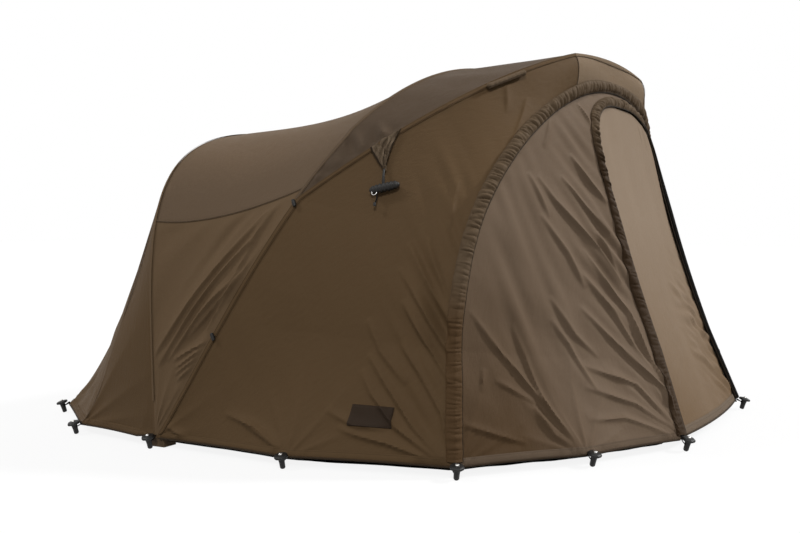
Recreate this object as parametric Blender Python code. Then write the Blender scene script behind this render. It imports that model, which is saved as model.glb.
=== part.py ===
# A one-man fishing bivvy: three bent ribs on two ground hubs, roof and wall cloth, a zipped front with a
# door, and fourteen pegs. Metres, +Z up, the door faces -Y, and X runs across the tent.
import math

import bmesh
import bpy
import numpy as np

for old in list(bpy.data.objects):
    bpy.data.objects.remove(old)

# Frame
HUB_SPREAD = 1.29  # from the middle plane to the hem beside a hub
HUB_HEIGHT = 0.045  # the pivot bolt above the hem
TUBE_RADIUS = 0.008
STAND = 0.030  # the hem's height above the ground; hub feet and pegs reach down to it
MAIN_ANGLE = 59.5  # the main rib's cloth line above the ground in front, in degrees
MAIN_REACH = 1.553
MAIN_POWER = 2.835  # 2 is an ellipse, more is squarer
REAR_ANGLE = 92.0
REAR_REACH = 1.099
REAR_POWER = 4.86
SHOULDER_HEIGHT = 0.822  # where the visor bow turns on the main rib
EDGE_FORWARD = 0.030  # the roof's hem hangs this far in front of the main rib's legs
EDGE_FADE_HEIGHT = 1.05

# Visor bow: it carries the brow over the door
BROW_CORNER = (-0.404, -1.191, 1.348)
BROW_MIDDLE = (0.0, -1.200, 1.369)
BROW_BULGE = (-0.165, 0.220)  # out and along the bow's plane, at the side's control point

BROW_PUFF = 0.028  # the cloth stands out this far below each corner of the brow
BROW_PUFF_SPREAD = 0.045  # over this share of the edge, either way

# Front: the outer zip runs from corner peg to corner peg, and the door zip stands inside it
CORNER_PEG = (-1.192, -1.103)
OUTER_LEG_TOP = (-1.141, -1.075, 0.35)
OUTER_TOP = 1.248
OUTER_LEAN = (-0.010, -0.151)  # y by height above the straight leg, linear and squared
OUTER_SIDE_TOP = (-1.141, 0.35)  # x and height where the arch starts: here at the leg's top
OUTER_POWER = 2.0
DOOR_FOOT = (-0.437, -1.598)
DOOR_LEG_TOP = (-0.372, -1.485, 0.30)
DOOR_SIDE_TOP = (-0.360, 0.98)
DOOR_TOP = 1.193
DOOR_LEAN = (0.375, -0.100)
DOOR_POWER = 2.7
SIDE_EASE = 1.8  # the door's sides run in fast above the leg, then upright

# Ground line, left half: hem points at the pegs, from the hub forwards and from the hub backwards
SIDE_PEG = (-1.318, -0.570)
FRONT_PEG = (-0.828, -1.396)
BACK_PEG_1 = (-1.234, 0.405)
BACK_PEG_2 = (-0.942, 0.770)
BACK_MIDDLE = (0.0, 0.850)
HEM_HEIGHT = 0.003
HEM_LIFT = 0.003  # the hem rises a little between two pegs

# Cloth
CLOTH = 0.003
SEAM_GAP = 0.002  # each panel stops this far short of a shared edge
ZIP_GAP = 0.007  # each panel stops this far short of a zip's middle
ZIP_HALF = 0.004
ROOF_SAG = 0.057
SAG_FORWARD = 1.25  # above 1, the deepest place is nearer to the main rib
SAG_EVENNESS = 0.85  # below 1, the dip is flatter in the middle
FLARE_START = 0.89  # the back walls run out evenly for this share of the way to their hem
FLARE_POWER = 12  # and turn out over the rest of it, close to the ground
FOLD_WIDTH = 0.034

# Zip covers and sliders. A cover's section: across the zip away from its wall, and its underside's height
COVER_SECTION = ((-0.027, 0.0040), (-0.010, 0.0135), (0.004, 0.0135))
COVER_FRONT_EDGE = (0.017, 0.0050)  # the outer cover reaches this far over the front panel
COVER_THICKNESS = 0.003
COVER_ENDS = 0.009  # share that each end stops above the ground, clear of the pegs
SLIDER_LIFT = 0.0055
SLIDER_SIZE = (0.010, 0.024, 0.006)
PULL_SIZE = (0.007, 0.040, 0.0025)


def lerp(a, b, t):
    return a + (b - a) * t


def unit(vector):
    return vector / np.linalg.norm(vector)


def smooth_curve(points):
    """A function of 0 to 1 that runs along the points at an even speed."""
    line = np.array(points, dtype=float)
    steps = np.linalg.norm(np.diff(line, axis=0), axis=1)
    length = np.concatenate([[0.0], np.cumsum(steps)])

    def at(share):
        place = min(max(share, 0.0), 1.0) * length[-1]
        return np.array([np.interp(place, length, line[:, k]) for k in range(3)])

    return at


def mirrored(half):
    """A left half that ends on the middle plane, with its right half added."""
    other = [np.array([-p[0], p[1], p[2]]) for p in half[-2::-1]]
    return list(half) + other


def share_of(curve, axis, value):
    """The share along a curve's left half where one coordinate first reaches a value."""
    shares = np.linspace(0.0, 0.5, 1001)
    values = np.array([curve(s)[axis] for s in shares])
    return float(np.interp(value, values, shares))


def bezier(a, control, b, count):
    t = np.linspace(0.0, 1.0, count)[:, None]
    return list((1 - t) ** 2 * a + 2 * t * (1 - t) * control + t ** 2 * b)


def arch(spread, reach, power, angle, pivot_height=0.0, count=241):
    """A rib line: a superellipse that stands on the hub axis and leans by the angle."""
    points = []
    lean = math.radians(angle)
    for turn in np.linspace(0.0, math.pi, count):
        side = math.cos(turn)
        rise = max(math.sin(turn), 0.0) ** (2 / power) * reach
        out = -spread * math.copysign(abs(side) ** (2 / power), side)
        points.append((out, -rise * math.cos(lean), pivot_height + rise * math.sin(lean)))
    return points


# Cloth lines
def edge_forward(height):
    """How far the roof's hem hangs in front of the main rib at a height."""
    return EDGE_FORWARD * max(math.sin(math.pi * min(height / EDGE_FADE_HEIGHT, 1.0)), 0.0) ** 0.5


main_arch = arch(HUB_SPREAD, MAIN_REACH, MAIN_POWER, MAIN_ANGLE)
main_line = smooth_curve([(x, y - edge_forward(z), z) for x, y, z in main_arch])
rear_line = smooth_curve(arch(HUB_SPREAD, REAR_REACH, REAR_POWER, REAR_ANGLE))
shoulder_share = share_of(main_line, 2, SHOULDER_HEIGHT)
shoulder = main_line(shoulder_share)


def front_edge_points():
    """The roof's front edge: up the main rib's leg, along the visor bow's side, across the brow."""
    leg = [main_line(s) for s in np.linspace(0.0006, shoulder_share, 60)]
    corner = np.array(BROW_CORNER)
    along = corner - shoulder
    along[0] = 0.0
    control = (shoulder + corner) / 2 + unit(along) * BROW_BULGE[1]
    control[0] += BROW_BULGE[0]
    side = bezier(shoulder, control, corner, 60)
    middle = np.array(BROW_MIDDLE)
    brow_control = np.array([BROW_CORNER[0] / 2, middle[1], middle[2]])
    brow = bezier(corner, brow_control, middle, 20)
    return mirrored(leg + side[1:] + brow[1:])


def zip_points(foot, leg_top, side_top, top, lean, power):
    """A zip's line: a straight leg from the ground, a side, then an arch to the middle plane."""
    outline = []
    if side_top[1] > leg_top[2]:
        for t in np.linspace(0.0, 1.0, 40)[1:]:
            eased = 1.0 - (1.0 - t) ** SIDE_EASE
            outline.append((lerp(leg_top[0], side_top[0], eased), lerp(leg_top[2], side_top[1], t)))
    for turn in np.linspace(0.0, math.pi / 2, 60)[1:]:
        out = side_top[0] * max(math.cos(turn), 0.0) ** (2 / power)
        outline.append((out, side_top[1] + (top - side_top[1]) * math.sin(turn) ** (2 / power)))
    line = list(np.linspace((foot[0], foot[1], HEM_HEIGHT), leg_top, 30))
    for out, height in outline:
        rise = height - leg_top[2]
        line.append(np.array([out, leg_top[1] + lean[0] * rise + lean[1] * rise ** 2, height]))
    return mirrored(line)


front_edge = smooth_curve(front_edge_points())
outer_points = zip_points(CORNER_PEG, OUTER_LEG_TOP, OUTER_SIDE_TOP, OUTER_TOP, OUTER_LEAN, OUTER_POWER)
outer_zip_line = smooth_curve(outer_points)
door_points = zip_points(DOOR_FOOT, DOOR_LEG_TOP, DOOR_SIDE_TOP, DOOR_TOP, DOOR_LEAN, DOOR_POWER)
door_zip_line = smooth_curve(door_points)
corner_share = share_of(front_edge, 0, BROW_CORNER[0])
edge_shoulder_share = share_of(front_edge, 2, SHOULDER_HEIGHT)
outer_corner_share = share_of(outer_zip_line, 0, BROW_CORNER[0])


def inward(point):
    """The way into the tent from a point of its cloth, level at the ground."""
    return unit(np.array([-point[0], -0.35 - point[1], -0.7 * point[2]]))


def between_pegs(keys, t):
    """A point of the hem at t, with a small lift between the pegs."""
    shares = [key[0] for key in keys]
    x = np.interp(t, shares, [key[1][0] for key in keys])
    y = np.interp(t, shares, [key[1][1] for key in keys])
    place = np.interp(t, shares, range(len(keys)))
    lift = HEM_LIFT * math.sin(math.pi * (place % 1.0))
    return np.array([x, y, HEM_HEIGHT + lift])


def mirror_share(s):
    return (1.0 - s, -1.0) if s > 0.5 else (s, 1.0)


def fold(point, start, end, depth, width=FOLD_WIDTH):
    """The height of one soft fold that runs from start to end and fades at both."""
    a = np.array(start)
    b = np.array(end)
    along = float(np.dot(point - a, b - a) / np.dot(b - a, b - a))
    if along <= 0.0 or along >= 1.0:
        return 0.0
    off = np.linalg.norm(point - (a + (b - a) * along))
    return depth * math.sin(math.pi * along) * math.exp(-(off / width) ** 2)


# Main folds of the hung cloth, left side: start, end and height, all real sizes
SIDE_FOLDS = [
    ((-1.13, -1.03, 0.05), (-1.17, -0.62, 0.62), 0.012),
    ((-1.15, -0.98, 0.03), (-1.20, -0.42, 0.36), 0.010),
]
REAR_SIDE_FOLDS = [
    ((-1.18, -0.42, 0.80), (-1.29, -0.02, 0.18), 0.014),
    ((-1.18, -0.36, 0.84), (-1.30, 0.02, 0.30), 0.012),
]
FRONT_FOLDS = [
    ((-0.48, -1.55, 0.10), (-0.86, -1.20, 0.62), 0.012),
    ((-0.46, -1.52, 0.22), (-0.74, -1.24, 0.86), 0.010),
    ((-0.84, -1.33, 0.06), (-0.92, -1.20, 0.55), 0.010),
]


def with_folds(point, way_out, folds, side):
    flipped = np.array([point[0] * side, point[1], point[2]])
    height = sum(fold(flipped, *f) for f in folds)
    return point + way_out * height


SEAM_SHARE = share_of(rear_line, 2, 0.75)
SEAM_FRONT_SHARE = share_of(main_line, 2, 0.86)


def rear_roof_at(s, v):
    """The roof between the rear rib (v 0) and the main rib (v 1). Its side seam rises to the front."""
    half, side = mirror_share(s)
    seam = lerp(SEAM_SHARE, SEAM_FRONT_SHARE, v ** 1.8)
    half = float(np.interp(half, [0.0, SEAM_SHARE, 0.5], [0.0, seam, 0.5]))
    share = half if side > 0 else 1 - half
    point = lerp(rear_line(share), main_line(share), v)
    middle = math.sin(math.pi * share) ** 2
    dip = max(math.sin(math.pi * v ** SAG_FORWARD), 0.0) ** SAG_EVENNESS
    point = point + inward(point) * (ROOF_SAG * middle * dip)
    return with_folds(point, -inward(point), REAR_SIDE_FOLDS, side)


def visor_roof_at(s, v):
    """The roof between the main rib (v 0) and the visor bow (v 1), from shoulder to shoulder."""
    share = (s - 0.5) * 2
    main_share = 0.5 + share * (0.5 - shoulder_share)
    edge_share = 0.5 + share * (0.5 - edge_shoulder_share)
    return lerp(main_line(main_share), front_edge(edge_share), v)


def side_wall_at(s, v):
    """Side wall and fascia between the roof's front edge (v 0) and the outer zip (v 1)."""
    half, side = mirror_share(s)
    zip_share = np.interp(half, [0.0, corner_share, 0.5], [0.0, outer_corner_share, 0.5])
    start = front_edge(half)
    end = outer_zip_line(zip_share)
    point = lerp(start, end, v)
    keys = [(0.0, front_edge(0.0)), (0.49, SIDE_PEG), (1.0, CORNER_PEG)]
    ground = between_pegs(keys, v) - lerp(front_edge(0.0), outer_zip_line(0.0), v)
    point = point + ground * max(0.0, 1.0 - half / 0.12) ** 2
    from_corner = (half - corner_share) / BROW_PUFF_SPREAD
    puff = BROW_PUFF * math.sin(math.pi * v) * math.exp(-from_corner ** 2)
    point = with_folds(point - inward(point) * puff, -inward(point), SIDE_FOLDS, 1.0)
    point[0] *= side
    return point


def front_wall_at(s, v):
    """The front between the outer zip (v 0) and the door zip (v 1)."""
    half, side = mirror_share(s)
    start = outer_zip_line(half)
    end = door_zip_line(half)
    point = lerp(start, end, v)
    keys = [(0.0, CORNER_PEG), (0.50, FRONT_PEG), (1.0, DOOR_FOOT)]
    ground = between_pegs(keys, v) - lerp(outer_zip_line(0.0), door_zip_line(0.0), v)
    point = point + ground * max(0.0, 1.0 - half / 0.12) ** 2
    point = with_folds(point, -inward(point), FRONT_FOLDS, 1.0)
    point[0] *= side
    return point


FOOT_SHARE = share_of(rear_line, 2, 0.012)
HUB_BACK_SHARE = 0.04
BACK_CORNER_SHARE = 0.20
BACK_KEYS = [
    (FOOT_SHARE, (-HUB_SPREAD, 0.006)),
    (HUB_BACK_SHARE, (-HUB_SPREAD - 0.002, 0.080)),
    (BACK_CORNER_SHARE, BACK_PEG_1),
    (0.27, BACK_PEG_2),
    (0.5, BACK_MIDDLE),
]


def back_wall_at(s, v):
    """The wall behind the rear rib (v 0) down to the hem (v 1)."""
    half, side = mirror_share(s)
    start = rear_line(half)
    end = between_pegs(BACK_KEYS, half)
    spread = FLARE_START * v + (1 - FLARE_START) * v ** FLARE_POWER
    shares = np.array([spread, spread, v])
    point = start + (end - start) * shares
    point[0] *= side
    return point


# Materials
def material(name, colour, roughness, metallic=0.0):
    made = bpy.data.materials.new(name)
    made.use_nodes = True
    shader = made.node_tree.nodes["Principled BSDF"]
    shader.inputs["Base Color"].default_value = (*colour, 1.0)
    shader.inputs["Roughness"].default_value = roughness
    shader.inputs["Metallic"].default_value = metallic
    made.diffuse_color = (*colour, 1.0)
    return made


roof_cloth = material("roof_cloth", (0.115, 0.085, 0.060), 0.6)
wall_cloth = material("wall_cloth", (0.085, 0.060, 0.040), 0.6)
front_cloth = material("front_cloth", (0.150, 0.115, 0.085), 0.6)
ground_cloth = material("ground_cloth", (0.040, 0.040, 0.035), 0.7)
trim_cloth = material("trim_cloth", (0.060, 0.045, 0.032), 0.7)
tube_metal = material("tube_metal", (0.080, 0.075, 0.068), 0.35, 1.0)
bolt_metal = material("bolt_metal", (0.560, 0.560, 0.560), 0.3, 1.0)
black_plastic = material("black_plastic", (0.015, 0.015, 0.015), 0.45)


# Solids
def object_from(name, vertices, faces, surface, smooth=True):
    mesh = bpy.data.meshes.new(name)
    mesh.from_pydata([tuple(v) for v in vertices], [], faces)
    work = bmesh.new()
    work.from_mesh(mesh)
    bmesh.ops.recalc_face_normals(work, faces=work.faces)
    work.to_mesh(mesh)
    work.free()
    mesh.materials.append(surface)
    if smooth:
        mesh.shade_smooth()
        mesh.set_sharp_from_angle(angle=math.radians(35))
    made = bpy.data.objects.new(name, mesh)
    bpy.context.scene.collection.objects.link(made)
    return made


def closed_grid(name, outer, inner, surface):
    """One closed solid from two grids of points that face each other."""
    rows = len(outer)
    columns = len(outer[0])
    vertices = [p for row in outer for p in row] + [p for row in inner for p in row]
    back = rows * columns
    faces = []
    for i in range(rows - 1):
        for j in range(columns - 1):
            a = i * columns + j
            faces.append((a, a + 1, a + columns + 1, a + columns))
            faces.append((back + a, back + a + columns, back + a + columns + 1, back + a + 1))
    rim = [j for j in range(columns)]
    rim += [i * columns + columns - 1 for i in range(1, rows)]
    rim += [(rows - 1) * columns + j for j in range(columns - 2, -1, -1)]
    rim += [i * columns for i in range(rows - 2, 0, -1)]
    for k, first in enumerate(rim):
        second = rim[(k + 1) % len(rim)]
        faces.append((first, back + first, back + second, second))
    return object_from(name, vertices, faces, surface)


def panel(name, cloth_at, s_range, counts, surface, start_gap=SEAM_GAP, end_gap=SEAM_GAP):
    """A cloth panel: its outer face follows cloth_at, its inner face lies inside it."""
    outer = []
    inner = []
    for s in np.linspace(s_range[0], s_range[1], counts[0] + 1):
        length = np.linalg.norm(cloth_at(s, 1.0) - cloth_at(s, 0.0))
        low = min(start_gap / length, 0.2)
        high = 1.0 - min(end_gap / length, 0.2)
        row = [cloth_at(s, v) for v in np.linspace(low, high, counts[1] + 1)]
        outer.append(row)
        inner.append([p + inward(p) * CLOTH for p in row])
    return closed_grid(name, outer, inner, surface)


def surface_frame(cloth_at, s, v):
    """A point of the cloth with its outward normal."""
    step = 0.004
    along = cloth_at(min(s + step, 1.0), v) - cloth_at(max(s - step, 0.0), v)
    across = cloth_at(s, min(v + step, 1.0)) - cloth_at(s, max(v - step, 0.0))
    normal = unit(np.cross(along, across))
    point = cloth_at(s, v)
    if np.dot(normal, inward(point)) > 0:
        normal = -normal
    return point, normal


def applique(name, cloth_at, grid, lift, height, surface):
    """A flat piece that lies on the cloth: grid holds rows of (s, v), and height gives each its thickness."""
    top = []
    bottom = []
    for i, row in enumerate(grid):
        top_row = []
        bottom_row = []
        for j, (s, v) in enumerate(row):
            point, normal = surface_frame(cloth_at, s, v)
            bottom_row.append(point + normal * lift)
            top_row.append(point + normal * (lift + height(i, j)))
        top.append(top_row)
        bottom.append(bottom_row)
    return closed_grid(name, top, bottom, surface)


def tube(name, points, radius, surface, sides=8):
    """A closed round tube along the points."""
    line = [np.array(p, dtype=float) for p in points]
    rings = []
    across = None
    for i, point in enumerate(line):
        ahead = unit(line[min(i + 1, len(line) - 1)] - line[max(i - 1, 0)])
        if across is None:
            across = np.cross(ahead, np.array([0.0, 1.0, 0.2]))
        across = unit(across - ahead * np.dot(across, ahead))
        up = np.cross(ahead, across)
        turns = [2 * math.pi * k / sides for k in range(sides)]
        rings.append([point + (across * math.cos(t) + up * math.sin(t)) * radius for t in turns])
    vertices = [p for ring in rings for p in ring]
    faces = [tuple(range(sides)), tuple(range(len(vertices) - sides, len(vertices)))]
    for i in range(len(rings) - 1):
        for k in range(sides):
            a = i * sides + k
            b = i * sides + (k + 1) % sides
            faces.append((a, b, b + sides, a + sides))
    return object_from(name, vertices, faces, surface)


def rod(name, start, end, radius, surface, sides=12):
    return tube(name, [start, end], radius, surface, sides)


def block(name, low, high, surface):
    corners = [(x, y, z) for x in (low[0], high[0]) for y in (low[1], high[1]) for z in (low[2], high[2])]
    faces = [(0, 1, 3, 2), (4, 6, 7, 5), (0, 4, 5, 1), (2, 3, 7, 6), (0, 2, 6, 4), (1, 5, 7, 3)]
    return object_from(name, corners, faces, surface, smooth=False)


def combine(base, tool, operation):
    """Applies one Boolean to base and removes the tool."""
    cut = base.modifiers.new("cut", "BOOLEAN")
    cut.operation = operation
    cut.solver = "EXACT"
    cut.object = tool
    bpy.context.view_layer.update()
    depsgraph = bpy.context.evaluated_depsgraph_get()
    result = bpy.data.meshes.new_from_object(base.evaluated_get(depsgraph))
    base.modifiers.clear()
    base.data = result
    bpy.data.objects.remove(tool)


def join_all(base, tools):
    for tool in tools:
        combine(base, tool, "UNION")


def cut_all(base, tools):
    for tool in tools:
        combine(base, tool, "DIFFERENCE")


SIDES = (("left", 1.0), ("right", -1.0))


def flip(point, side):
    return np.array([point[0] * side, point[1], point[2]])


# Roof and walls
HALF_GAP = 0.0004  # share that each panel stops short of a shared end


def middle_range(start):
    return (start + HALF_GAP, 1 - start - HALF_GAP)


def side_range(start, end, side):
    return (start, end - HALF_GAP) if side > 0 else (1 - end + HALF_GAP, 1 - start)


panel("rear_roof", rear_roof_at, middle_range(SEAM_SHARE), (18, 8), roof_cloth)
panel("visor_roof", visor_roof_at, (0.01, 0.99), (20, 4), roof_cloth)
panel("fascia", side_wall_at, middle_range(corner_share), (8, 3), front_cloth, end_gap=ZIP_GAP)
panel("back_wall", back_wall_at, middle_range(BACK_CORNER_SHARE), (20, 6), wall_cloth, end_gap=0)
for word, side in SIDES:
    seam_range = side_range(FOOT_SHARE, SEAM_SHARE, side)
    skirt_range = side_range(FOOT_SHARE, BACK_CORNER_SHARE, side)
    wall_range = side_range(0.0, corner_share, side)
    panel("rear_side_" + word, rear_roof_at, seam_range, (12, 8), roof_cloth)
    panel("rear_skirt_" + word, back_wall_at, skirt_range, (8, 6), wall_cloth, end_gap=0)
    panel("side_wall_" + word, side_wall_at, wall_range, (18, 8), wall_cloth, end_gap=ZIP_GAP)
    front_range = side_range(0.0, 0.5, side)
    panel("front_panel_" + word, front_wall_at, front_range, (22, 6), front_cloth, ZIP_GAP, ZIP_GAP)

# Door panel
DOOR_CLEARANCE = 0.009
DOOR_TOP_SHARE = 0.47  # where the door's top edge cuts across under the zip's crown
DOOR_BULGE = 0.024  # the loose hem stands out this far in the middle
DOOR_BULGE_HEIGHT = 0.30
DOOR_HINGE_OUT = 0.022  # the door turns on its hem line, this far in front of the zip's feet
door_rows = []
for half in np.linspace(0.002, DOOR_TOP_SHARE, 23):
    left = door_zip_line(half)
    up_share = half / DOOR_TOP_SHARE
    edge = left[0] + DOOR_CLEARANCE * (1.0 + 0.6 * half)
    height = left[2] - DOOR_CLEARANCE * up_share ** 4 + 0.002 * (1 - up_share)
    bulge = DOOR_BULGE * math.exp(-height / DOOR_BULGE_HEIGHT)
    row = []
    for x in np.linspace(edge, -edge, 9):
        out = bulge * (1.0 - (x / edge) ** 2)
        row.append(np.array([x, left[1] - out, height]))
    door_rows.append(row)
door_inner = [[p + inward(p) * CLOTH for p in row] for row in door_rows]
closed_grid("door_panel", door_rows, door_inner, front_cloth)


# Zips and their gathered covers
def zip_strip(name, line, wall_at, v_edge, counts):
    """The zip's teeth: a narrow strip in the gap between two panels."""
    outer = []
    inner = []
    for s in np.linspace(0.0, 1.0, counts + 1):
        point = line(s)
        ruling = wall_at(s, 0.5) - wall_at(s, v_edge)
        ruling = unit(ruling)
        into = inward(point)
        outer.append([point + ruling * w for w in (-ZIP_HALF, ZIP_HALF)])
        inner.append([point + ruling * w + into * CLOTH for w in (-ZIP_HALF, ZIP_HALF)])
    return closed_grid(name, outer, inner, black_plastic)


def zip_line_for_wall(s):
    half, side = mirror_share(s)
    share = np.interp(half, [0.0, corner_share, 0.5], [0.0, outer_corner_share, 0.5])
    return flip(outer_zip_line(share), side)


zip_strip("outer_zip", zip_line_for_wall, side_wall_at, 1.0, 42)
zip_strip("door_zip", door_zip_line, front_wall_at, 1.0, 44)


def zip_cover(name, wall_at, counts, front_edge_at=None):
    """The gathered flap over a zip: an arch from the wall across the sliders' way, in thin cloth."""
    top = []
    under = []
    for s in np.linspace(COVER_ENDS, 1.0 - COVER_ENDS, counts + 1):
        middle = wall_at(s, 1.0)
        across = unit(middle - wall_at(s, 0.98))
        normal = surface_frame(wall_at, s, 0.995)[1]
        row = [(middle + across * reach + normal * height, normal) for reach, height in COVER_SECTION]
        if front_edge_at:
            row.append(front_edge_at(s))
        under.append([point for point, way in row])
        top.append([point + way * COVER_THICKNESS for point, way in row])
    return closed_grid(name, top, under, trim_cloth)


def over_front_panel(s):
    """The outer cover's front edge: a point over the front panel beside the zip, and the way out there."""
    half, side = mirror_share(s)
    share = np.interp(half, [0.0, corner_share, 0.5], [0.0, outer_corner_share, 0.5])
    reach, height = COVER_FRONT_EDGE
    length = np.linalg.norm(front_wall_at(share, 1.0) - front_wall_at(share, 0.0))
    point, normal = surface_frame(front_wall_at, share, reach / length)
    return flip(point + normal * height, side), flip(normal, side)


zip_cover("outer_zip_cover", side_wall_at, 42, over_front_panel)
zip_cover("door_zip_cover", front_wall_at, 44)


# Ribs
main_tube = arch(HUB_SPREAD - 0.023, 1.489, MAIN_POWER, 58.6, HUB_HEIGHT)
rear_tube = arch(HUB_SPREAD - 0.050, 1.027, REAR_POWER, 91.7, HUB_HEIGHT)
LUG_START = 0.040  # a tube starts this far from its pivot


def rib_tube(name, route, count):
    """A bent tube along the route between its two lugs, and the points of its middle line."""
    line = smooth_curve(route)
    length = float(np.sum(np.linalg.norm(np.diff(np.array(route), axis=0), axis=1)))
    first = LUG_START / length
    points = [line(s) for s in np.linspace(first, 1 - first, count)]
    tube(name, points, TUBE_RADIUS, tube_metal)
    return points


main_tube_line = smooth_curve(rib_tube("main_rib", main_tube, 32))
rib_tube("rear_rib", rear_tube, 39)

# Visor bow, in its own plane: across, and along from the shoulder pivot
VISOR_ANGLE = 35.8
VISOR_SPREAD = 1.112
main_pivot_share = share_of(main_tube_line, 2, SHOULDER_HEIGHT)
main_at_shoulder = main_tube_line(main_pivot_share)
visor_pivot = np.array([-VISOR_SPREAD, main_at_shoulder[1], main_at_shoulder[2]])
VISOR_STRAIGHT = 0.17  # share of the way to the first control point that the bow runs straight
bow_start = np.array([VISOR_SPREAD, 0.0])
bow_bend = np.array([0.930, 0.612])
bow_corner = np.array([0.450, 0.837])
bow_corner_bend = np.array([0.385, 0.867])
bow_front = np.array([0.300, 0.870])
bow_straight = lerp(bow_start, bow_bend, VISOR_STRAIGHT)
visor_plan = list(np.linspace(bow_start, bow_straight, 6))
visor_plan += bezier(bow_straight, bow_bend, bow_corner, 24)[1:]
visor_plan += bezier(bow_corner, bow_corner_bend, bow_front, 8)[1:]
visor_plan += list(np.linspace(bow_front, (0.0, 0.872), 6))[1:]


def on_visor(plan):
    """A place in the visor's plane as a point of the tent."""
    lean = math.radians(VISOR_ANGLE)
    forward = visor_pivot[1] - plan[1] * math.cos(lean)
    return np.array([-plan[0], forward, visor_pivot[2] + plan[1] * math.sin(lean)])


visor_points = mirrored([on_visor(p) for p in visor_plan])
visor_line = smooth_curve(visor_points)
rib_tube("visor_bow", visor_points, 37)


# Lugs, hubs and bolts
EYE_RADIUS = 0.014
BOLT_RADIUS = 0.005
BORE_RADIUS = 0.0054
SLEEVE_RADIUS = 0.0107
SLEEVE_LENGTH = 0.085
BOLT_HEAD_RADIUS = 0.009
HUB_OUTER = 1.2835  # the hub's outer and inner faces, from the middle plane
HUB_INNER = 1.2225
HUB_HALF_LENGTH = 0.035
EAR_DEPTH = 0.005
EAR_HALF = 0.016
COLLAR_HALF = 0.016
COLLAR_BORE = TUBE_RADIUS + 0.0013
BOSS_RADIUS = 0.009
BOSS_FACE = -1.1212  # where the shoulder's boss ends and its pin goes on
PIN_END = -1.0985


def lug(name, pivot, way, half_width):
    """An eye on a bolt with a socket that holds a rib's end."""
    across = np.array([1.0, 0.0, 0.0])
    eye = rod(name, pivot - across * half_width, pivot + across * half_width, EYE_RADIUS, black_plastic, 16)
    stalk_ends = (pivot + way * 0.008, pivot + way * SLEEVE_LENGTH)
    stalk = rod(name + "_stalk", *stalk_ends, SLEEVE_RADIUS, black_plastic, 12)
    join_all(eye, [stalk])
    bore = rod(name + "_bore", pivot - across * 0.05, pivot + across * 0.05, BORE_RADIUS, black_plastic, 12)
    socket_ends = (pivot + way * (LUG_START - 0.0005), pivot + way * 0.12)
    socket = rod(name + "_socket", *socket_ends, TUBE_RADIUS + 0.0009, black_plastic, 12)
    cut_all(eye, [bore, socket])
    return eye


def direction(angle):
    lean = math.radians(angle)
    return np.array([0.0, -math.cos(lean), math.sin(lean)])


for word, side in SIDES:
    main_pivot = flip((-(HUB_SPREAD - 0.023), 0.0, HUB_HEIGHT), side)
    rear_pivot = flip((-(HUB_SPREAD - 0.050), 0.0, HUB_HEIGHT), side)
    lug("main_lug_" + word, main_pivot, direction(58.6), 0.0100)
    lug("rear_lug_" + word, rear_pivot, direction(91.7), 0.0100)

    outer_face = -HUB_OUTER * side
    inner_face = -HUB_INNER * side
    low_x, high_x = sorted((outer_face, inner_face))
    low = (low_x, -HUB_HALF_LENGTH, -STAND)
    hub = block("hub_" + word, low, (high_x, HUB_HALF_LENGTH, 0.012), black_plastic)
    for face, depth in ((outer_face, EAR_DEPTH * side), (inner_face, -EAR_DEPTH * side)):
        a, b = sorted((face, face + depth))
        ear = block("ear", (a, -EAR_HALF, 0.006), (b, EAR_HALF, HUB_HEIGHT + 0.017), black_plastic)
        join_all(hub, [ear])
    bolt_places = (-1.30, -HUB_OUTER, -1.2220, -1.2210, -1.2160, -1.20)
    bolt_line = [flip((x, 0, HUB_HEIGHT), side) for x in bolt_places]
    hole = rod("bolt_hole", bolt_line[0], bolt_line[5], BOLT_RADIUS + 0.0003, black_plastic)
    cut_all(hub, [hole])
    bolt = rod("hub_bolt_" + word, bolt_line[1], bolt_line[3], BOLT_RADIUS, bolt_metal)
    head = rod("head", bolt_line[2], bolt_line[4], BOLT_HEAD_RADIUS, bolt_metal, 6)
    join_all(bolt, [head])

    # Shoulder: a collar on the main rib with a pin for the visor bow's lug
    on_rib = flip(main_at_shoulder, side)
    tangent = unit(main_tube_line(main_pivot_share + 0.004) - main_tube_line(main_pivot_share - 0.004))
    tangent = flip(tangent, side)
    half_collar = tangent * COLLAR_HALF
    collar_ends = (on_rib - half_collar, on_rib + half_collar)
    collar = rod("shoulder_" + word, *collar_ends, SLEEVE_RADIUS, black_plastic, 12)
    boss_end = flip((BOSS_FACE, visor_pivot[1], visor_pivot[2]), side)
    pin_end = flip((PIN_END, visor_pivot[1], visor_pivot[2]), side)
    boss = rod("boss", on_rib, boss_end, BOSS_RADIUS, black_plastic, 12)
    pin = rod("pin", on_rib, pin_end, BOLT_RADIUS, black_plastic, 12)
    join_all(collar, [boss, pin])
    bore_ends = (on_rib - tangent * 0.04, on_rib + tangent * 0.04)
    rib_bore = rod("rib_bore", *bore_ends, COLLAR_BORE, black_plastic, 12)
    cut_all(collar, [rib_bore])
    way = unit(visor_line(0.004) - visor_line(0.0))
    lug("visor_lug_" + word, flip(visor_pivot, side), flip(way, side), 0.0080)

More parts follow.
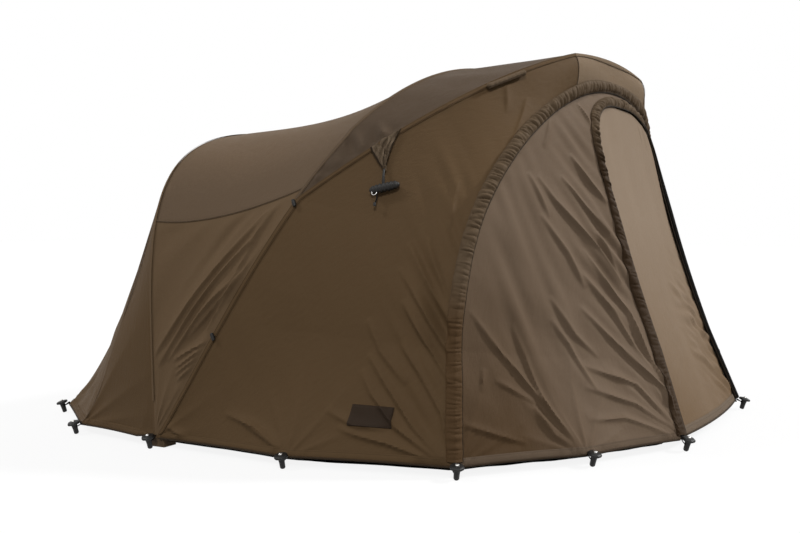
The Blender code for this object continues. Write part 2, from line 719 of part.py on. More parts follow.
# Groundsheet
sheet_centre = np.array([0.0, -0.37])
outline = [(-HUB_SPREAD, 0.0), SIDE_PEG, CORNER_PEG, FRONT_PEG, DOOR_FOOT]
outline += [(-p[0], p[1]) for p in outline[::-1]]
back = [BACK_PEG_1, BACK_PEG_2]
outline += [(-p[0], p[1]) for p in back] + back[::-1]
SHEET_SHARE = 0.935
SHEET_THICKNESS = 0.004
ring = [sheet_centre + (np.array(p) - sheet_centre) * SHEET_SHARE for p in outline]
bottom = [(p[0], p[1], -STAND) for p in ring]
top = [(p[0], p[1], SHEET_THICKNESS - STAND) for p in ring]
count = len(ring)
sheet_faces = [tuple(range(count)), tuple(range(count, 2 * count))]
sheet_faces += [(k, (k + 1) % count, count + (k + 1) % count, count + k) for k in range(count)]
object_from("groundsheet", bottom + top, sheet_faces, ground_cloth, smooth=False)


# Pegs
PEG_PROFILE = [
    (0.0070, 0.000),
    (0.0095, 0.006),
    (0.0105, 0.034),
    (0.0205, 0.038),
    (0.0225, 0.043),
    (0.0190, 0.048),
    (0.0060, 0.052),
]  # radius and height above the ground: a thick shank under a flat head
PEG_SIDES = 10
PEG_LEAN = 0.30  # outwards, by height
PEG_OUT = 0.019  # from the hem to the peg's foot


def peg(name, at, away):
    """A ground peg whose foot ends at the ground, leaning away from the tent."""
    sides = PEG_SIDES
    vertices = []
    for radius, height in PEG_PROFILE:
        out = PEG_OUT + PEG_LEAN * height
        for k in range(sides):
            turn = 2 * math.pi * k / sides
            x = at[0] + away[0] * out + radius * math.cos(turn)
            y = at[1] + away[1] * out + radius * math.sin(turn)
            vertices.append((x, y, height - STAND))
    last = len(vertices) - sides
    faces = [tuple(range(sides)), tuple(range(last, last + sides))]
    for i in range(len(PEG_PROFILE) - 1):
        for k in range(sides):
            a = i * sides + k
            b = i * sides + (k + 1) % sides
            faces.append((a, b, b + sides, a + sides))
    return object_from(name, vertices, faces, black_plastic)


PEGS = [
    ("back", BACK_PEG_2, (-0.60, 0.80)),
    ("rear_corner", BACK_PEG_1, (-0.95, 0.30)),
    ("hub", (-HUB_SPREAD - 0.004, 0.0), (-1.0, 0.0)),
    ("side", SIDE_PEG, (-1.0, -0.05)),
    ("corner", CORNER_PEG, (-0.80, -0.60)),
    ("front", FRONT_PEG, (-0.45, -0.89)),
    ("door", (DOOR_FOOT[0] - 0.020, DOOR_FOOT[1]), (-0.35, -0.94)),
]
for place, at, away in PEGS:
    for word, side in SIDES:
        peg("peg_" + place + "_" + word, (at[0] * side, at[1]), (away[0] * side, away[1]))


# Trim on the front: blank patch, tabs with their bar clips, rolled straps
def wall_grid(centre_s, centre_v, size, counts):
    """Rows of (s, v) that cover a rectangle of the side wall, given in metres along and across."""
    ends = [side_wall_at(centre_s + step, centre_v) for step in (-0.01, 0.01)]
    edge_length = np.linalg.norm(ends[1] - ends[0]) / 0.02
    ruling_length = np.linalg.norm(side_wall_at(centre_s, 1.0) - side_wall_at(centre_s, 0.0))
    rows = []
    for a in np.linspace(-0.5, 0.5, counts[0] + 1):
        row = []
        for b in np.linspace(-0.5, 0.5, counts[1] + 1):
            row.append((centre_s + a * size[0] / edge_length, centre_v + b * size[1] / ruling_length))
        rows.append(row)
    return rows


PATCH_AT = (0.0356, 0.7245)
PATCH_SIZE = (0.068, 0.145)
PATCH_LIFT = 0.004
TRIM_HEIGHT = 0.003
patch_grid = wall_grid(*PATCH_AT, PATCH_SIZE, (2, 3))
applique("side_patch", side_wall_at, patch_grid, PATCH_LIFT, lambda i, j: TRIM_HEIGHT, trim_cloth)

# The tab's top corners and its tip, as places (s, v) on the wall
TAB_LEFT = (0.2471, 0.008)
TAB_RIGHT = (0.2700, 0.008)
TAB_TIP = (0.2344, 0.238)
TAB_TAPER = 0.86
CLIP_SWING_HEIGHT = 0.0090


def tab_grid(side):
    """A triangle that hangs from the roof's front edge, point down."""
    rows = []
    for down in np.linspace(0.0, 1.0, 5):
        middle = lerp((TAB_LEFT[0] + TAB_RIGHT[0]) / 2, TAB_TIP[0], down)
        width = (TAB_RIGHT[0] - TAB_LEFT[0]) * (1.0 - TAB_TAPER * down)
        row = []
        for across in np.linspace(-0.5, 0.5, 3):
            share = middle + across * width
            row.append((share if side > 0 else 1 - share, lerp(TAB_LEFT[1], TAB_TIP[1], down)))
        rows.append(row)
    return rows


def wall_axes(s, v, side):
    """Point, outward normal, the way down the wall, and the way along it, on one side of the tent."""
    share = s if side > 0 else 1 - s
    point, normal = surface_frame(side_wall_at, share, v)
    gravity = np.array([0.0, 0.0, -1.0])
    down = unit(gravity - normal * np.dot(gravity, normal))
    return point, normal, down, np.cross(normal, down)


def oriented_block(name, centre, axes, size, surface):
    """A block of a size along three axes."""
    vertices = []
    for x in (-0.5, 0.5):
        for y in (-0.5, 0.5):
            for z in (-0.5, 0.5):
                offset = sum(axis * k * length for axis, k, length in zip(axes, (x, y, z), size))
                vertices.append(centre + offset)
    faces = [(0, 1, 3, 2), (4, 6, 7, 5), (0, 4, 5, 1), (2, 3, 7, 6), (0, 2, 6, 4), (1, 5, 7, 3)]
    return object_from(name, vertices, faces, surface, smooth=False)


STRAP_ENDS = ((0.3345, 0.072), (0.3645, 0.106))
STRAP_RADIUS = 0.0105
STRAP_LIFT = 0.0165
LINK_SIZE = (0.010, 0.052, 0.003)
BAR_SIZE = (0.100, 0.022, 0.014)
clip_hooks = {}
for word, side in SIDES:
    tab = tab_grid(side)
    applique("tab_" + word, side_wall_at, tab, PATCH_LIFT, lambda i, j: TRIM_HEIGHT, trim_cloth)

    # The bar clip hangs on a short link under the tab's tip
    tip, normal, down, along = wall_axes(TAB_TIP[0], TAB_TIP[1], side)
    hang = tip + normal * CLIP_SWING_HEIGHT + down * 0.010
    clip_hooks[word] = hang
    axes = (along, down, normal)
    link = oriented_block("clip_" + word, hang + down * 0.022, axes, LINK_SIZE, black_plastic)
    bar = oriented_block("bar", hang + down * 0.054 + normal * 0.004, axes, BAR_SIZE, black_plastic)
    join_all(link, [bar])

    roll_ends = []
    for share, v in STRAP_ENDS:
        place, normal = surface_frame(side_wall_at, share if side > 0 else 1 - share, v)
        roll_ends.append(place + normal * STRAP_LIFT)
    rod("strap_roll_" + word, *roll_ends, STRAP_RADIUS, trim_cloth, 10)

# Zip sliders with their pullers, each on a straight leg of its zip
SLIDER_HEIGHT = 0.075
slider_middles = {}
for zip_name, foot, leg_top, wall_at in (
    ("door", DOOR_FOOT, DOOR_LEG_TOP, front_wall_at),
    ("outer", CORNER_PEG, OUTER_LEG_TOP, side_wall_at),
):
    base = np.array([foot[0], foot[1], HEM_HEIGHT])
    rising = unit(np.array(leg_top) - base)
    point = base + rising * SLIDER_HEIGHT
    ruling = unit(wall_at(0.02, 1.0) - wall_at(0.02, 0.5))
    normal = unit(np.cross(rising, ruling))
    if np.dot(normal, inward(point)) > 0:
        normal = -normal
    across = np.cross(rising, normal)
    for word, side in SIDES:
        axes = [flip(a, side) for a in (across, rising, normal)]
        centre = flip(point + normal * (SLIDER_LIFT + 0.003), side)
        name = "slider_" + zip_name + "_" + word
        slider_middles[name] = centre
        slider = oriented_block(name, centre, axes, SLIDER_SIZE, black_plastic)
        pull_centre = centre - axes[1] * SLIDER_SIZE[1] + axes[2] * 0.002
        pull = oriented_block("pull", pull_centre, axes, PULL_SIZE, black_plastic)
        join_all(slider, [pull])


# Everything above was laid out from the hem, with its corner of zero on the hem plane below the hub axis.
# Now the tent stands on the ground, and each moving body's pieces hang from an empty on its joint's axis.
def joint_axis(name, place, piece_names, parent=None):
    """An empty at a place on a joint's axis, which carries the pieces that move on that joint."""
    axis = bpy.data.objects.new("axis_" + name, None)
    bpy.context.scene.collection.objects.link(axis)
    axis.parent = parent
    axis["place"] = [float(x) for x in place]
    below = parent["place"] if parent else (0.0, 0.0, -STAND)
    axis.location = [a - b for a, b in zip(place, below)]
    for piece_name in piece_names:
        piece = bpy.data.objects[piece_name]
        piece.parent = axis
        piece.location = [-x for x in place]
    return axis


def both(*names):
    return [name + "_" + word for name in names for word, side in SIDES]


for piece in bpy.context.scene.objects:
    piece.location.z = STAND
hub_axis = (0.0, 0.0, HUB_HEIGHT)
shoulder_axis = (0.0, *main_at_shoulder[1:])
door_hinge = (0.0, DOOR_FOOT[1] - DOOR_HINGE_OUT, 0.0)
main_names = ["main_rib", "rear_roof"] + both("main_lug", "shoulder", "rear_side")
visor_names = ["visor_bow", "visor_roof"] + both("visor_lug", "tab", "strap_roll")
main_body = joint_axis("frame_fold", hub_axis, main_names)
joint_axis("rear_rib_fold", hub_axis, ["rear_rib"] + both("rear_lug"), main_body)
visor_body = joint_axis("visor_fold", shoulder_axis, visor_names, main_body)
for word, hook in clip_hooks.items():
    joint_axis("clip_" + word + "_swing", hook, ["clip_" + word], visor_body)
joint_axis("door_drop", door_hinge, ["door_panel"])
for name, middle in slider_middles.items():
    joint_axis(name + "_run", middle, [name])
bpy.context.view_layer.update()
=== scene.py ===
# A one-man fishing bivvy in khaki cloth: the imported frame, dressed with panels, covers, seams and pegs.
# Metres, +Z up. The door faces -Y, and X runs across the tent. Cloth lines are laid out from the hem plane.
import math

import bpy
import numpy as np
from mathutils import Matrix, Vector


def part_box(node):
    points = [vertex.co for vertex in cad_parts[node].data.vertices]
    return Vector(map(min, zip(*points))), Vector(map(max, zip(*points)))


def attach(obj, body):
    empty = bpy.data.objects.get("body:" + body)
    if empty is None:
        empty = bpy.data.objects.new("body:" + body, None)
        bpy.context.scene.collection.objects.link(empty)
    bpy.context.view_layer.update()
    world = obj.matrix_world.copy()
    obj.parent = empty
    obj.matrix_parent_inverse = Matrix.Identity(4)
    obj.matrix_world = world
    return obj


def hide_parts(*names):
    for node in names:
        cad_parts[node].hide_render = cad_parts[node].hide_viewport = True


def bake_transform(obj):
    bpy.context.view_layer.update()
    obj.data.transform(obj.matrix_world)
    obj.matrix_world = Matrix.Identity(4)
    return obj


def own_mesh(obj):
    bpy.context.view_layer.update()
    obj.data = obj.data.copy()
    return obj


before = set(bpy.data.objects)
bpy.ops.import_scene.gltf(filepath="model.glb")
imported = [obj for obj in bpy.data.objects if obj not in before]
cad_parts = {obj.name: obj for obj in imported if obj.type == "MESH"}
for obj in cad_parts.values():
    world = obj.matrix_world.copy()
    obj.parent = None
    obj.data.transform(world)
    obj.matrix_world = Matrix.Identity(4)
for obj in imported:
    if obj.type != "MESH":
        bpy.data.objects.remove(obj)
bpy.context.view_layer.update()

# Frame lines, the same sizes as the solids
HUB_SPREAD = 1.29
STAND = 0.030  # the hem plane above the ground
MAIN_ANGLE, MAIN_REACH, MAIN_POWER = 59.5, 1.553, 2.835
REAR_ANGLE, REAR_REACH, REAR_POWER = 92.0, 1.099, 4.86
SHOULDER_HEIGHT = 0.822
EDGE_FORWARD, EDGE_FADE_HEIGHT = 0.030, 1.05
BROW_CORNER = (-0.404, -1.191, 1.348)
BROW_MIDDLE = (0.0, -1.200, 1.369)
BROW_BULGE = (-0.165, 0.220)
BROW_PUFF, BROW_PUFF_SPREAD = 0.028, 0.045
CORNER_PEG = (-1.192, -1.103)
OUTER_LEG_TOP = (-1.141, -1.075, 0.35)
OUTER_TOP = 1.248
OUTER_LEAN = (-0.010, -0.151)
OUTER_SIDE_TOP = (-1.141, 0.35)
OUTER_POWER = 2.0
DOOR_FOOT = (-0.437, -1.598)
DOOR_LEG_TOP = (-0.372, -1.485, 0.30)
DOOR_SIDE_TOP = (-0.360, 0.98)
DOOR_TOP = 1.193
DOOR_LEAN = (0.375, -0.100)
DOOR_POWER = 2.7
SIDE_EASE = 1.8
SIDE_PEG = (-1.318, -0.570)
FRONT_PEG = (-0.828, -1.396)
BACK_PEG_1 = (-1.234, 0.405)
BACK_PEG_2 = (-0.942, 0.770)
BACK_MIDDLE = (0.0, 0.850)
HEM_HEIGHT = 0.003
HEM_LIFT = 0.003
ROOF_SAG, SAG_FORWARD, SAG_EVENNESS = 0.057, 1.25, 0.85
FLARE_START, FLARE_POWER = 0.89, 12

# Cloth sizes
ZIP_EDGE = 0.005  # each panel stops this far from a zip's middle
HEM_BAND = 0.026
HEM_ROLL = 0.0038
COVER_CORD = 0.0023  # the corded edge of a zip cover
SHADOW_ROPE_RADIUS = 0.0085  # the black rope down the door's right edge, a painted shadow
COVER_PUFF = 0.0085  # a zip cover's height over the zip
RUFFLE = 0.0140  # how far its gathers stand out
GATHERS = (0.031, 0.019)  # from one gather to the next, along its back and its front edge
EDGE_BAND = 0.018


# Plain sums on points
def lerp(a, b, t):
    return a + (b - a) * t


def unit(vector):
    return vector / np.maximum(np.linalg.norm(vector, axis=-1, keepdims=True), 1e-12)


def eased(t):
    """0 to 1 with soft ends."""
    t = np.clip(t, 0.0, 1.0)
    return t * t * (3 - 2 * t)


def flipped(points, side):
    return points * np.array([side, 1.0, 1.0])


def run_lengths(points, axis):
    """How far each point of a grid is from the grid's start, measured along the cloth."""
    steps = np.linalg.norm(np.diff(points, axis=axis), axis=-1)
    start = np.zeros_like(np.take(steps, [0], axis=axis))
    return np.concatenate([start, np.cumsum(steps, axis=axis)], axis=axis)


def smooth_curve(points):
    """A function of 0 to 1 that runs along the points at an even speed."""
    line = np.array(points, dtype=float)
    length = run_lengths(line, 0)

    def at(share):
        place = np.clip(share, 0.0, 1.0) * length[-1]
        return np.stack([np.interp(place, length, line[:, k]) for k in range(3)], axis=-1)

    return at


def length_of(curve):
    return float(run_lengths(curve(np.linspace(0, 1, 801)), 0)[-1])


def mirrored(half):
    return np.concatenate([half, flipped(half[-2::-1], -1.0)])


def share_of(curve, axis, value):
    """The share along a curve's left half where one coordinate first reaches a value."""
    shares = np.linspace(0.0, 0.5, 1001)
    return float(np.interp(value, curve(shares)[:, axis], shares))


def bezier(a, control, b, count):
    t = np.linspace(0.0, 1.0, count)[:, None]
    return (1 - t) ** 2 * a + 2 * t * (1 - t) * control + t ** 2 * b


def arch(spread, reach, power, angle):
    """A rib line: a superellipse that stands on the hub axis and leans by the angle."""
    turn = np.linspace(0.0, math.pi, 1201)
    lean = math.radians(angle)
    side = np.cos(turn)
    rise = np.maximum(np.sin(turn), 0.0) ** (2 / power) * reach
    out = -spread * np.sign(side) * np.abs(side) ** (2 / power)
    return np.stack([out, -rise * math.cos(lean), rise * math.sin(lean)], axis=-1)


def edge_forward(height):
    wave = np.sin(math.pi * np.minimum(height / EDGE_FADE_HEIGHT, 1.0))
    return EDGE_FORWARD * np.sqrt(np.maximum(wave, 0.0))


# Cloth lines
main_arch = arch(HUB_SPREAD, MAIN_REACH, MAIN_POWER, MAIN_ANGLE)
main_arch[:, 1] -= edge_forward(main_arch[:, 2])
main_line = smooth_curve(main_arch)
rear_line = smooth_curve(arch(HUB_SPREAD, REAR_REACH, REAR_POWER, REAR_ANGLE))
shoulder_share = share_of(main_line, 2, SHOULDER_HEIGHT)


def front_edge_points():
    """The roof's front edge: up the main rib's leg, along the visor bow's side, across the brow."""
    shoulder = main_line(shoulder_share)
    leg = main_line(np.linspace(0.0006, shoulder_share, 300))
    corner = np.array(BROW_CORNER)
    along = (corner - shoulder) * (0, 1, 1)
    control = (shoulder + corner) / 2 + unit(along) * BROW_BULGE[1]
    control[0] += BROW_BULGE[0]
    middle = np.array(BROW_MIDDLE)
    brow_control = np.array([BROW_CORNER[0] / 2, middle[1], middle[2]])
    side = bezier(shoulder, control, corner, 240)
    brow = bezier(corner, brow_control, middle, 80)
    return mirrored(np.concatenate([leg, side[1:], brow[1:]]))


def zip_points(foot, leg_top, side_top, top, lean, power):
    """A zip's line: a straight leg from the ground, a side, then an arch to the middle plane."""
    outline = []
    if side_top[1] > leg_top[2]:
        t = np.linspace(0.0, 1.0, 160)[1:]
        eased_in = 1.0 - (1.0 - t) ** SIDE_EASE
        outline.append((lerp(leg_top[0], side_top[0], eased_in), lerp(leg_top[2], side_top[1], t)))
    turn = np.linspace(0.0, math.pi / 2, 300)[1:]
    out = side_top[0] * np.maximum(np.cos(turn), 0.0) ** (2 / power)
    outline.append((out, side_top[1] + (top - side_top[1]) * np.sin(turn) ** (2 / power)))
    out, height = np.concatenate(outline, axis=1)
    rise = height - leg_top[2]
    upper = np.stack([out, leg_top[1] + lean[0] * rise + lean[1] * rise ** 2, height], axis=-1)
    leg = np.linspace((foot[0], foot[1], HEM_HEIGHT), leg_top, 60)
    return mirrored(np.concatenate([leg, upper]))


front_edge = smooth_curve(front_edge_points())
outer_zip_line = smooth_curve(
    zip_points(CORNER_PEG, OUTER_LEG_TOP, OUTER_SIDE_TOP, OUTER_TOP, OUTER_LEAN, OUTER_POWER))
door_zip_line = smooth_curve(
    zip_points(DOOR_FOOT, DOOR_LEG_TOP, DOOR_SIDE_TOP, DOOR_TOP, DOOR_LEAN, DOOR_POWER))
corner_share = share_of(front_edge, 0, BROW_CORNER[0])
edge_shoulder_share = share_of(front_edge, 2, SHOULDER_HEIGHT)
outer_corner_share = share_of(outer_zip_line, 0, BROW_CORNER[0])
SEAM_SHARE = share_of(rear_line, 2, 0.75)
SEAM_FRONT_SHARE = share_of(main_line, 2, 0.86)
FOOT_SHARE = share_of(rear_line, 2, 0.012)
HUB_BACK_SHARE = 0.04
BACK_CORNER_SHARE = 0.20


# The tent's middle along Y, and the share of a point's height that the way into the tent takes
INSIDE_FORWARD, INSIDE_FLATNESS = -0.35, 0.7


def inward(points):
    """The way into the tent from a point of its cloth."""
    x, y, z = (points[..., k] for k in range(3))
    return unit(np.stack([-x, INSIDE_FORWARD - y, -INSIDE_FLATNESS * z], axis=-1))


def between_pegs(keys, t):
    """A point of the hem at t, with a small lift between the pegs."""
    shares = [key[0] for key in keys]
    x = np.interp(t, shares, [key[1][0] for key in keys])
    y = np.interp(t, shares, [key[1][1] for key in keys])
    place = np.interp(t, shares, range(len(keys)))
    lift = HEM_LIFT * np.sin(math.pi * (place % 1.0))
    return np.stack([x, y, HEM_HEIGHT + lift], axis=-1)


def halves(s):
    """The share on the left half, and which side it is on: 1 left, -1 right."""
    return np.minimum(s, 1.0 - s), np.where(s > 0.5, -1.0, 1.0)


def to_side(share, side):
    """A share of the left half, or the one that mirrors it on the right."""
    return np.where(side > 0, share, 1.0 - share)


def outer_share(half):
    """The share of the outer zip that lies across from a share of the front edge."""
    return np.interp(half, [0.0, corner_share, 0.5], [0.0, outer_corner_share, 0.5])


def sided(points, side):
    points = points.copy()
    points[..., 0] *= side
    return points


# Cloth surfaces: s runs along the frame from left to right, v from one edge to the other
def rear_roof_at(s, v):
    """The roof between the rear rib (v 0) and the main rib (v 1)."""
    half, side = halves(s)
    seam = lerp(SEAM_SHARE, SEAM_FRONT_SHARE, v ** 1.8)
    low = half / SEAM_SHARE * seam
    high = seam + (half - SEAM_SHARE) / (0.5 - SEAM_SHARE) * (0.5 - seam)
    half = np.where(half < SEAM_SHARE, low, high)
    share = to_side(half, side)
    points = lerp(rear_line(share), main_line(share), v[..., None])
    dip = np.maximum(np.sin(math.pi * v ** SAG_FORWARD), 0.0) ** SAG_EVENNESS
    sag = ROOF_SAG * np.sin(math.pi * share) ** 2 * dip
    return points + inward(points) * sag[..., None]


def visor_roof_at(s, v):
    """The roof between the main rib (v 0) and the visor bow (v 1), from shoulder to shoulder."""
    share = (s - 0.5) * 2
    main_share = 0.5 + share * (0.5 - shoulder_share)
    edge_share = 0.5 + share * (0.5 - edge_shoulder_share)
    return lerp(main_line(main_share), front_edge(edge_share), v[..., None])


HEM_PULL = 0.12  # the share of a rib over which a wall is drawn to its pegs


def wall_between(start_line, end_line, keys, s, v, zip_share):
    half, side = halves(s)
    points = lerp(start_line(half), end_line(zip_share(half)), v[..., None])
    hem = between_pegs(keys, v) - lerp(start_line(0.0), end_line(0.0), v[..., None])
    points = points + hem * (np.maximum(0.0, 1.0 - half / HEM_PULL) ** 2)[..., None]
    return sided(points, side)


def side_wall_at(s, v):
    """Side wall and fascia between the roof's front edge (v 0) and the outer zip (v 1)."""
    keys = [(0.0, front_edge(0.0)), (0.49, SIDE_PEG), (1.0, CORNER_PEG)]
    points = wall_between(front_edge, outer_zip_line, keys, s, v, outer_share)
    from_corner = (halves(s)[0] - corner_share) / BROW_PUFF_SPREAD
    puff = BROW_PUFF * np.sin(math.pi * v) * np.exp(-from_corner ** 2)
    return points - inward(points) * puff[..., None]


def front_wall_at(s, v):
    """The front between the outer zip (v 0) and the door zip (v 1)."""
    keys = [(0.0, CORNER_PEG), (0.50, FRONT_PEG), (1.0, DOOR_FOOT)]
    return wall_between(outer_zip_line, door_zip_line, keys, s, v, lambda half: half)


def back_wall_at(s, v):
    """The wall behind the rear rib (v 0) down to the hem (v 1)."""
    keys = [
        (FOOT_SHARE, (-HUB_SPREAD, 0.006)),
        (HUB_BACK_SHARE, (-HUB_SPREAD - 0.002, 0.080)),
        (BACK_CORNER_SHARE, BACK_PEG_1),
        (0.27, BACK_PEG_2),
        (0.5, BACK_MIDDLE),
    ]
    half, side = halves(s)
    spread = FLARE_START * v + (1 - FLARE_START) * v ** FLARE_POWER
    share = np.stack([spread, spread, v], axis=-1)
    return sided(lerp(rear_line(half), between_pegs(keys, half), share), side)


DOOR_EDGE = 0.009
DOOR_TOP_SHARE = 0.485
DOOR_BULGE, DOOR_BULGE_HEIGHT = 0.024, 0.30


def door_at(s, v):
    """The door: s from its left to its right edge, v from its hem (0) to its top (1)."""
    half = lerp(0.002, DOOR_TOP_SHARE, v)
    left = door_zip_line(half)
    edge = left[..., 0] + DOOR_EDGE * (1.0 + 0.6 * half)
    height = left[..., 2] - DOOR_EDGE * v ** 4 + 0.002 * (1 - v)
    across = 1.0 - 2.0 * s
    bulge = DOOR_BULGE * np.exp(-height / DOOR_BULGE_HEIGHT) * (1.0 - across ** 2)
    return np.stack([edge * across, left[..., 1] - bulge, height], axis=-1)


# Folds, all as heights that stand out of the cloth
FAN_SPREAD = 0.085  # the width of a fan's folds, in radians
FAN_START = 0.05  # they have their full height from this far off the peg


def nearest(flat, route):
    """How far each place is to the left of a route, or below 0 to its right, and how far along it,
    from 0 to 1."""
    route = np.array(route, dtype=float)
    steps = np.linalg.norm(np.diff(route, axis=0), axis=1)
    starts = np.concatenate([[0.0], np.cumsum(steps)])
    best = np.full(flat.shape[:-1], 1e9)
    along = np.zeros(flat.shape[:-1])
    for k, step in enumerate(steps):
        way = (route[k + 1] - route[k]) / step
        here = flat - route[k]
        t = np.clip(here @ way, 0.0, step)
        off = np.linalg.norm(here - t[..., None] * way, axis=-1)
        nearer = off < np.abs(best)
        best = np.where(nearer, off * np.sign(way[0] * here[..., 1] - way[1] * here[..., 0]), best)
        along = np.where(nearer, (starts[k] + t) / starts[-1], along)
    return best, along


def creases(flat, routes, steep_side, gain, steepness=0.42):
    """Creases along routes, each with its width and height. They fade at both ends, and fall off
    fast on their steep side: 1 for the left of the way they run, -1 for the right."""
    height = np.zeros(flat.shape[:-1])
    for route, width, rise in routes:
        off, along = nearest(flat, route)
        ends = np.sin(math.pi * np.clip(along, 0.0, 1.0)) ** 0.6
        wide = np.where(off * steep_side > 0, width * steepness, width * 1.15)
        height += gain * rise * ends * np.exp(-(np.abs(off) / wide) ** 1.35)
    return height


def fans(flat, rows):
    """Folds that run out of pegs. Each row has the peg, the folds' height, and the degrees and length
    of each fold."""
    height = np.zeros(flat.shape[:-1])
    for centre, rise, rays in rows:
        away = flat - np.array(centre)
        reach = np.linalg.norm(away, axis=-1)
        angle = np.arctan2(away[..., 1], away[..., 0])
        for degrees, length in rays:
            off = (angle - math.radians(degrees) + math.pi) % (2 * math.pi) - math.pi
            fade = np.exp(-(reach / length) ** 2) * eased(reach / FAN_START)
            height += rise * fade * np.exp(-np.abs(off / FAN_SPREAD) ** 1.4)
    return height


def uneven(flat, size, seed, stretch=(1.0, 1.0)):
    """A soft unevenness of about 1 either way, with bumps of a size, longer the way that stretch says."""
    luck = np.random.default_rng(seed)
    height = np.zeros(flat.shape[:-1])
    count = 14
    for _ in range(count):
        way = luck.uniform(0, 2 * math.pi)
        pitch = 2 * math.pi / (size * luck.uniform(1.4, 3.0))
        phase = luck.uniform(0, 2 * math.pi)
        x = flat[..., 0] * (math.cos(way) * pitch / stretch[0])
        height += np.sin(x + flat[..., 1] * (math.sin(way) * pitch / stretch[1]) + phase)
    return height / math.sqrt(count / 2)


def turned(flat, degrees):
    """Places seen in axes turned by an angle, so that the first runs along that angle."""
    turn = math.radians(degrees)
    x = flat[..., 0] * math.cos(turn) + flat[..., 1] * math.sin(turn)
    return np.stack([x, flat[..., 1] * math.cos(turn) - flat[..., 0] * math.sin(turn)], axis=-1)


def near(flat, centre, reach):
    """1 at a place, fading away from it."""
    return np.exp(-np.sum(((flat - np.array(centre)) / np.array(reach)) ** 2, axis=-1))


def waves(flat, rows):
    """Unevenness. Each row has its height, the angle that stretch draws it out along, its size, its seed
    and stretch, and perhaps the place and reach that it keeps to."""
    height = np.zeros(flat.shape[:-1])
    for rise, degrees, size, seed, stretch, *place in rows:
        rough = rise * uneven(turned(flat, degrees), size, seed, stretch)
        height += rough * near(flat, *place) if place else rough
    return height


SIDE_CREASES = [
    ([(-0.78, 0.28), (-0.82, 0.21), (-0.91, 0.11), (-1.07, 0.01)], 0.016, 0.0085),
    ([(-0.80, 0.33), (-0.85, 0.26), (-0.96, 0.12), (-1.08, 0.01)], 0.015, 0.0085),
    ([(-0.90, 0.37), (-0.97, 0.28), (-1.05, 0.16), (-1.09, 0.02)], 0.015, 0.0080),
    ([(-0.90, 0.50), (-0.96, 0.41), (-1.07, 0.25)], 0.014, 0.0075),
    ([(-0.88, 0.60), (-0.96, 0.49), (-1.07, 0.33)], 0.013, 0.0060),
    ([(-0.90, 0.68), (-0.97, 0.57), (-1.07, 0.42)], 0.013, 0.0050),
    ([(-0.68, 0.15), (-0.77, 0.11), (-0.88, 0.10)], 0.014, 0.0050),
    ([(-0.72, 0.10), (-0.78, 0.08), (-0.89, 0.06), (-1.06, 0.01)], 0.014, 0.0070),
    ([(-0.79, 0.44), (-0.84, 0.34), (-0.93, 0.24)], 0.016, 0.0060),
    ([(-0.30, 0.11), (-0.43, 0.08), (-0.55, 0.02)], 0.014, 0.0060),
    ([(-0.37, 0.09), (-0.54, 0.02)], 0.012, 0.0050),
    ([(-0.05, 0.05), (-0.15, 0.01)], 0.012, 0.0050),
    ([(-1.115, 1.17), (-1.12, 1.00)], 0.010, 0.0030),
    ([(-1.06, 1.21), (-1.08, 1.11)], 0.010, 0.0028),
    ([(-1.02, 0.72), (-1.01, 0.88)], 0.012, 0.0030),
    ([(-0.93, 0.74), (-0.99, 0.62), (-1.05, 0.50)], 0.012, 0.0040),
]
FRONT_CREASES = [
    ([(-1.09, 0.47), (-0.95, 0.27), (-0.89, 0.16), (-0.84, 0.02)], 0.010, 0.0065),
    ([(-0.94, 0.42), (-0.91, 0.32), (-0.89, 0.15), (-0.84, 0.01)], 0.010, 0.0060),
    ([(-1.03, 0.25), (-0.92, 0.17)], 0.009, 0.0045),
    ([(-1.16, 0.13), (-1.03, 0.07), (-0.98, 0.05)], 0.010, 0.0050),
    ([(-0.79, 0.43), (-0.74, 0.34), (-0.69, 0.18)], 0.012, 0.0060),
    ([(-0.78, 0.50), (-0.71, 0.37), (-0.63, 0.29)], 0.012, 0.0060),
    ([(-0.93, 0.16), (-0.90, 0.07), (-0.84, 0.00)], 0.009, 0.0055),
    ([(-1.06, 0.29), (-1.08, 0.22)], 0.009, 0.0040),
    ([(-0.54, 0.98), (-0.47, 0.88), (-0.40, 0.81)], 0.013, 0.0070),
    ([(-0.62, 0.90), (-0.53, 0.80), (-0.43, 0.70)], 0.014, 0.0080),
    ([(-0.50, 0.71), (-0.43, 0.55)], 0.013, 0.0060),
    ([(-0.74, 0.90), (-0.68, 0.82), (-0.52, 0.65), (-0.43, 0.53)], 0.015, 0.0085),
    ([(-0.76, 0.77), (-0.67, 0.64), (-0.62, 0.52)], 0.015, 0.0070),
    ([(-0.41, 1.17), (-0.37, 1.09)], 0.010, 0.0045),
    ([(-0.60, 1.11), (-0.68, 1.00)], 0.012, 0.0045),
    ([(-0.59, 0.65), (-0.45, 0.43), (-0.41, 0.16), (-0.42, 0.02)], 0.014, 0.0085),
    ([(-0.66, 0.46), (-0.53, 0.31), (-0.43, 0.17), (-0.42, 0.02)], 0.014, 0.0085),
    ([(-0.71, 0.27), (-0.53, 0.19), (-0.44, 0.02)], 0.013, 0.0075),
    ([(-0.73, 0.20), (-0.57, 0.13), (-0.44, 0.02)], 0.012, 0.0065),
    ([(-0.77, 0.10), (-0.63, 0.09), (-0.45, 0.01)], 0.012, 0.0060),
    ([(-0.62, 0.57), (-0.52, 0.44), (-0.44, 0.23)], 0.014, 0.0075),
    ([(-0.78, 0.91), (-0.72, 0.76)], 0.014, 0.0055),
]
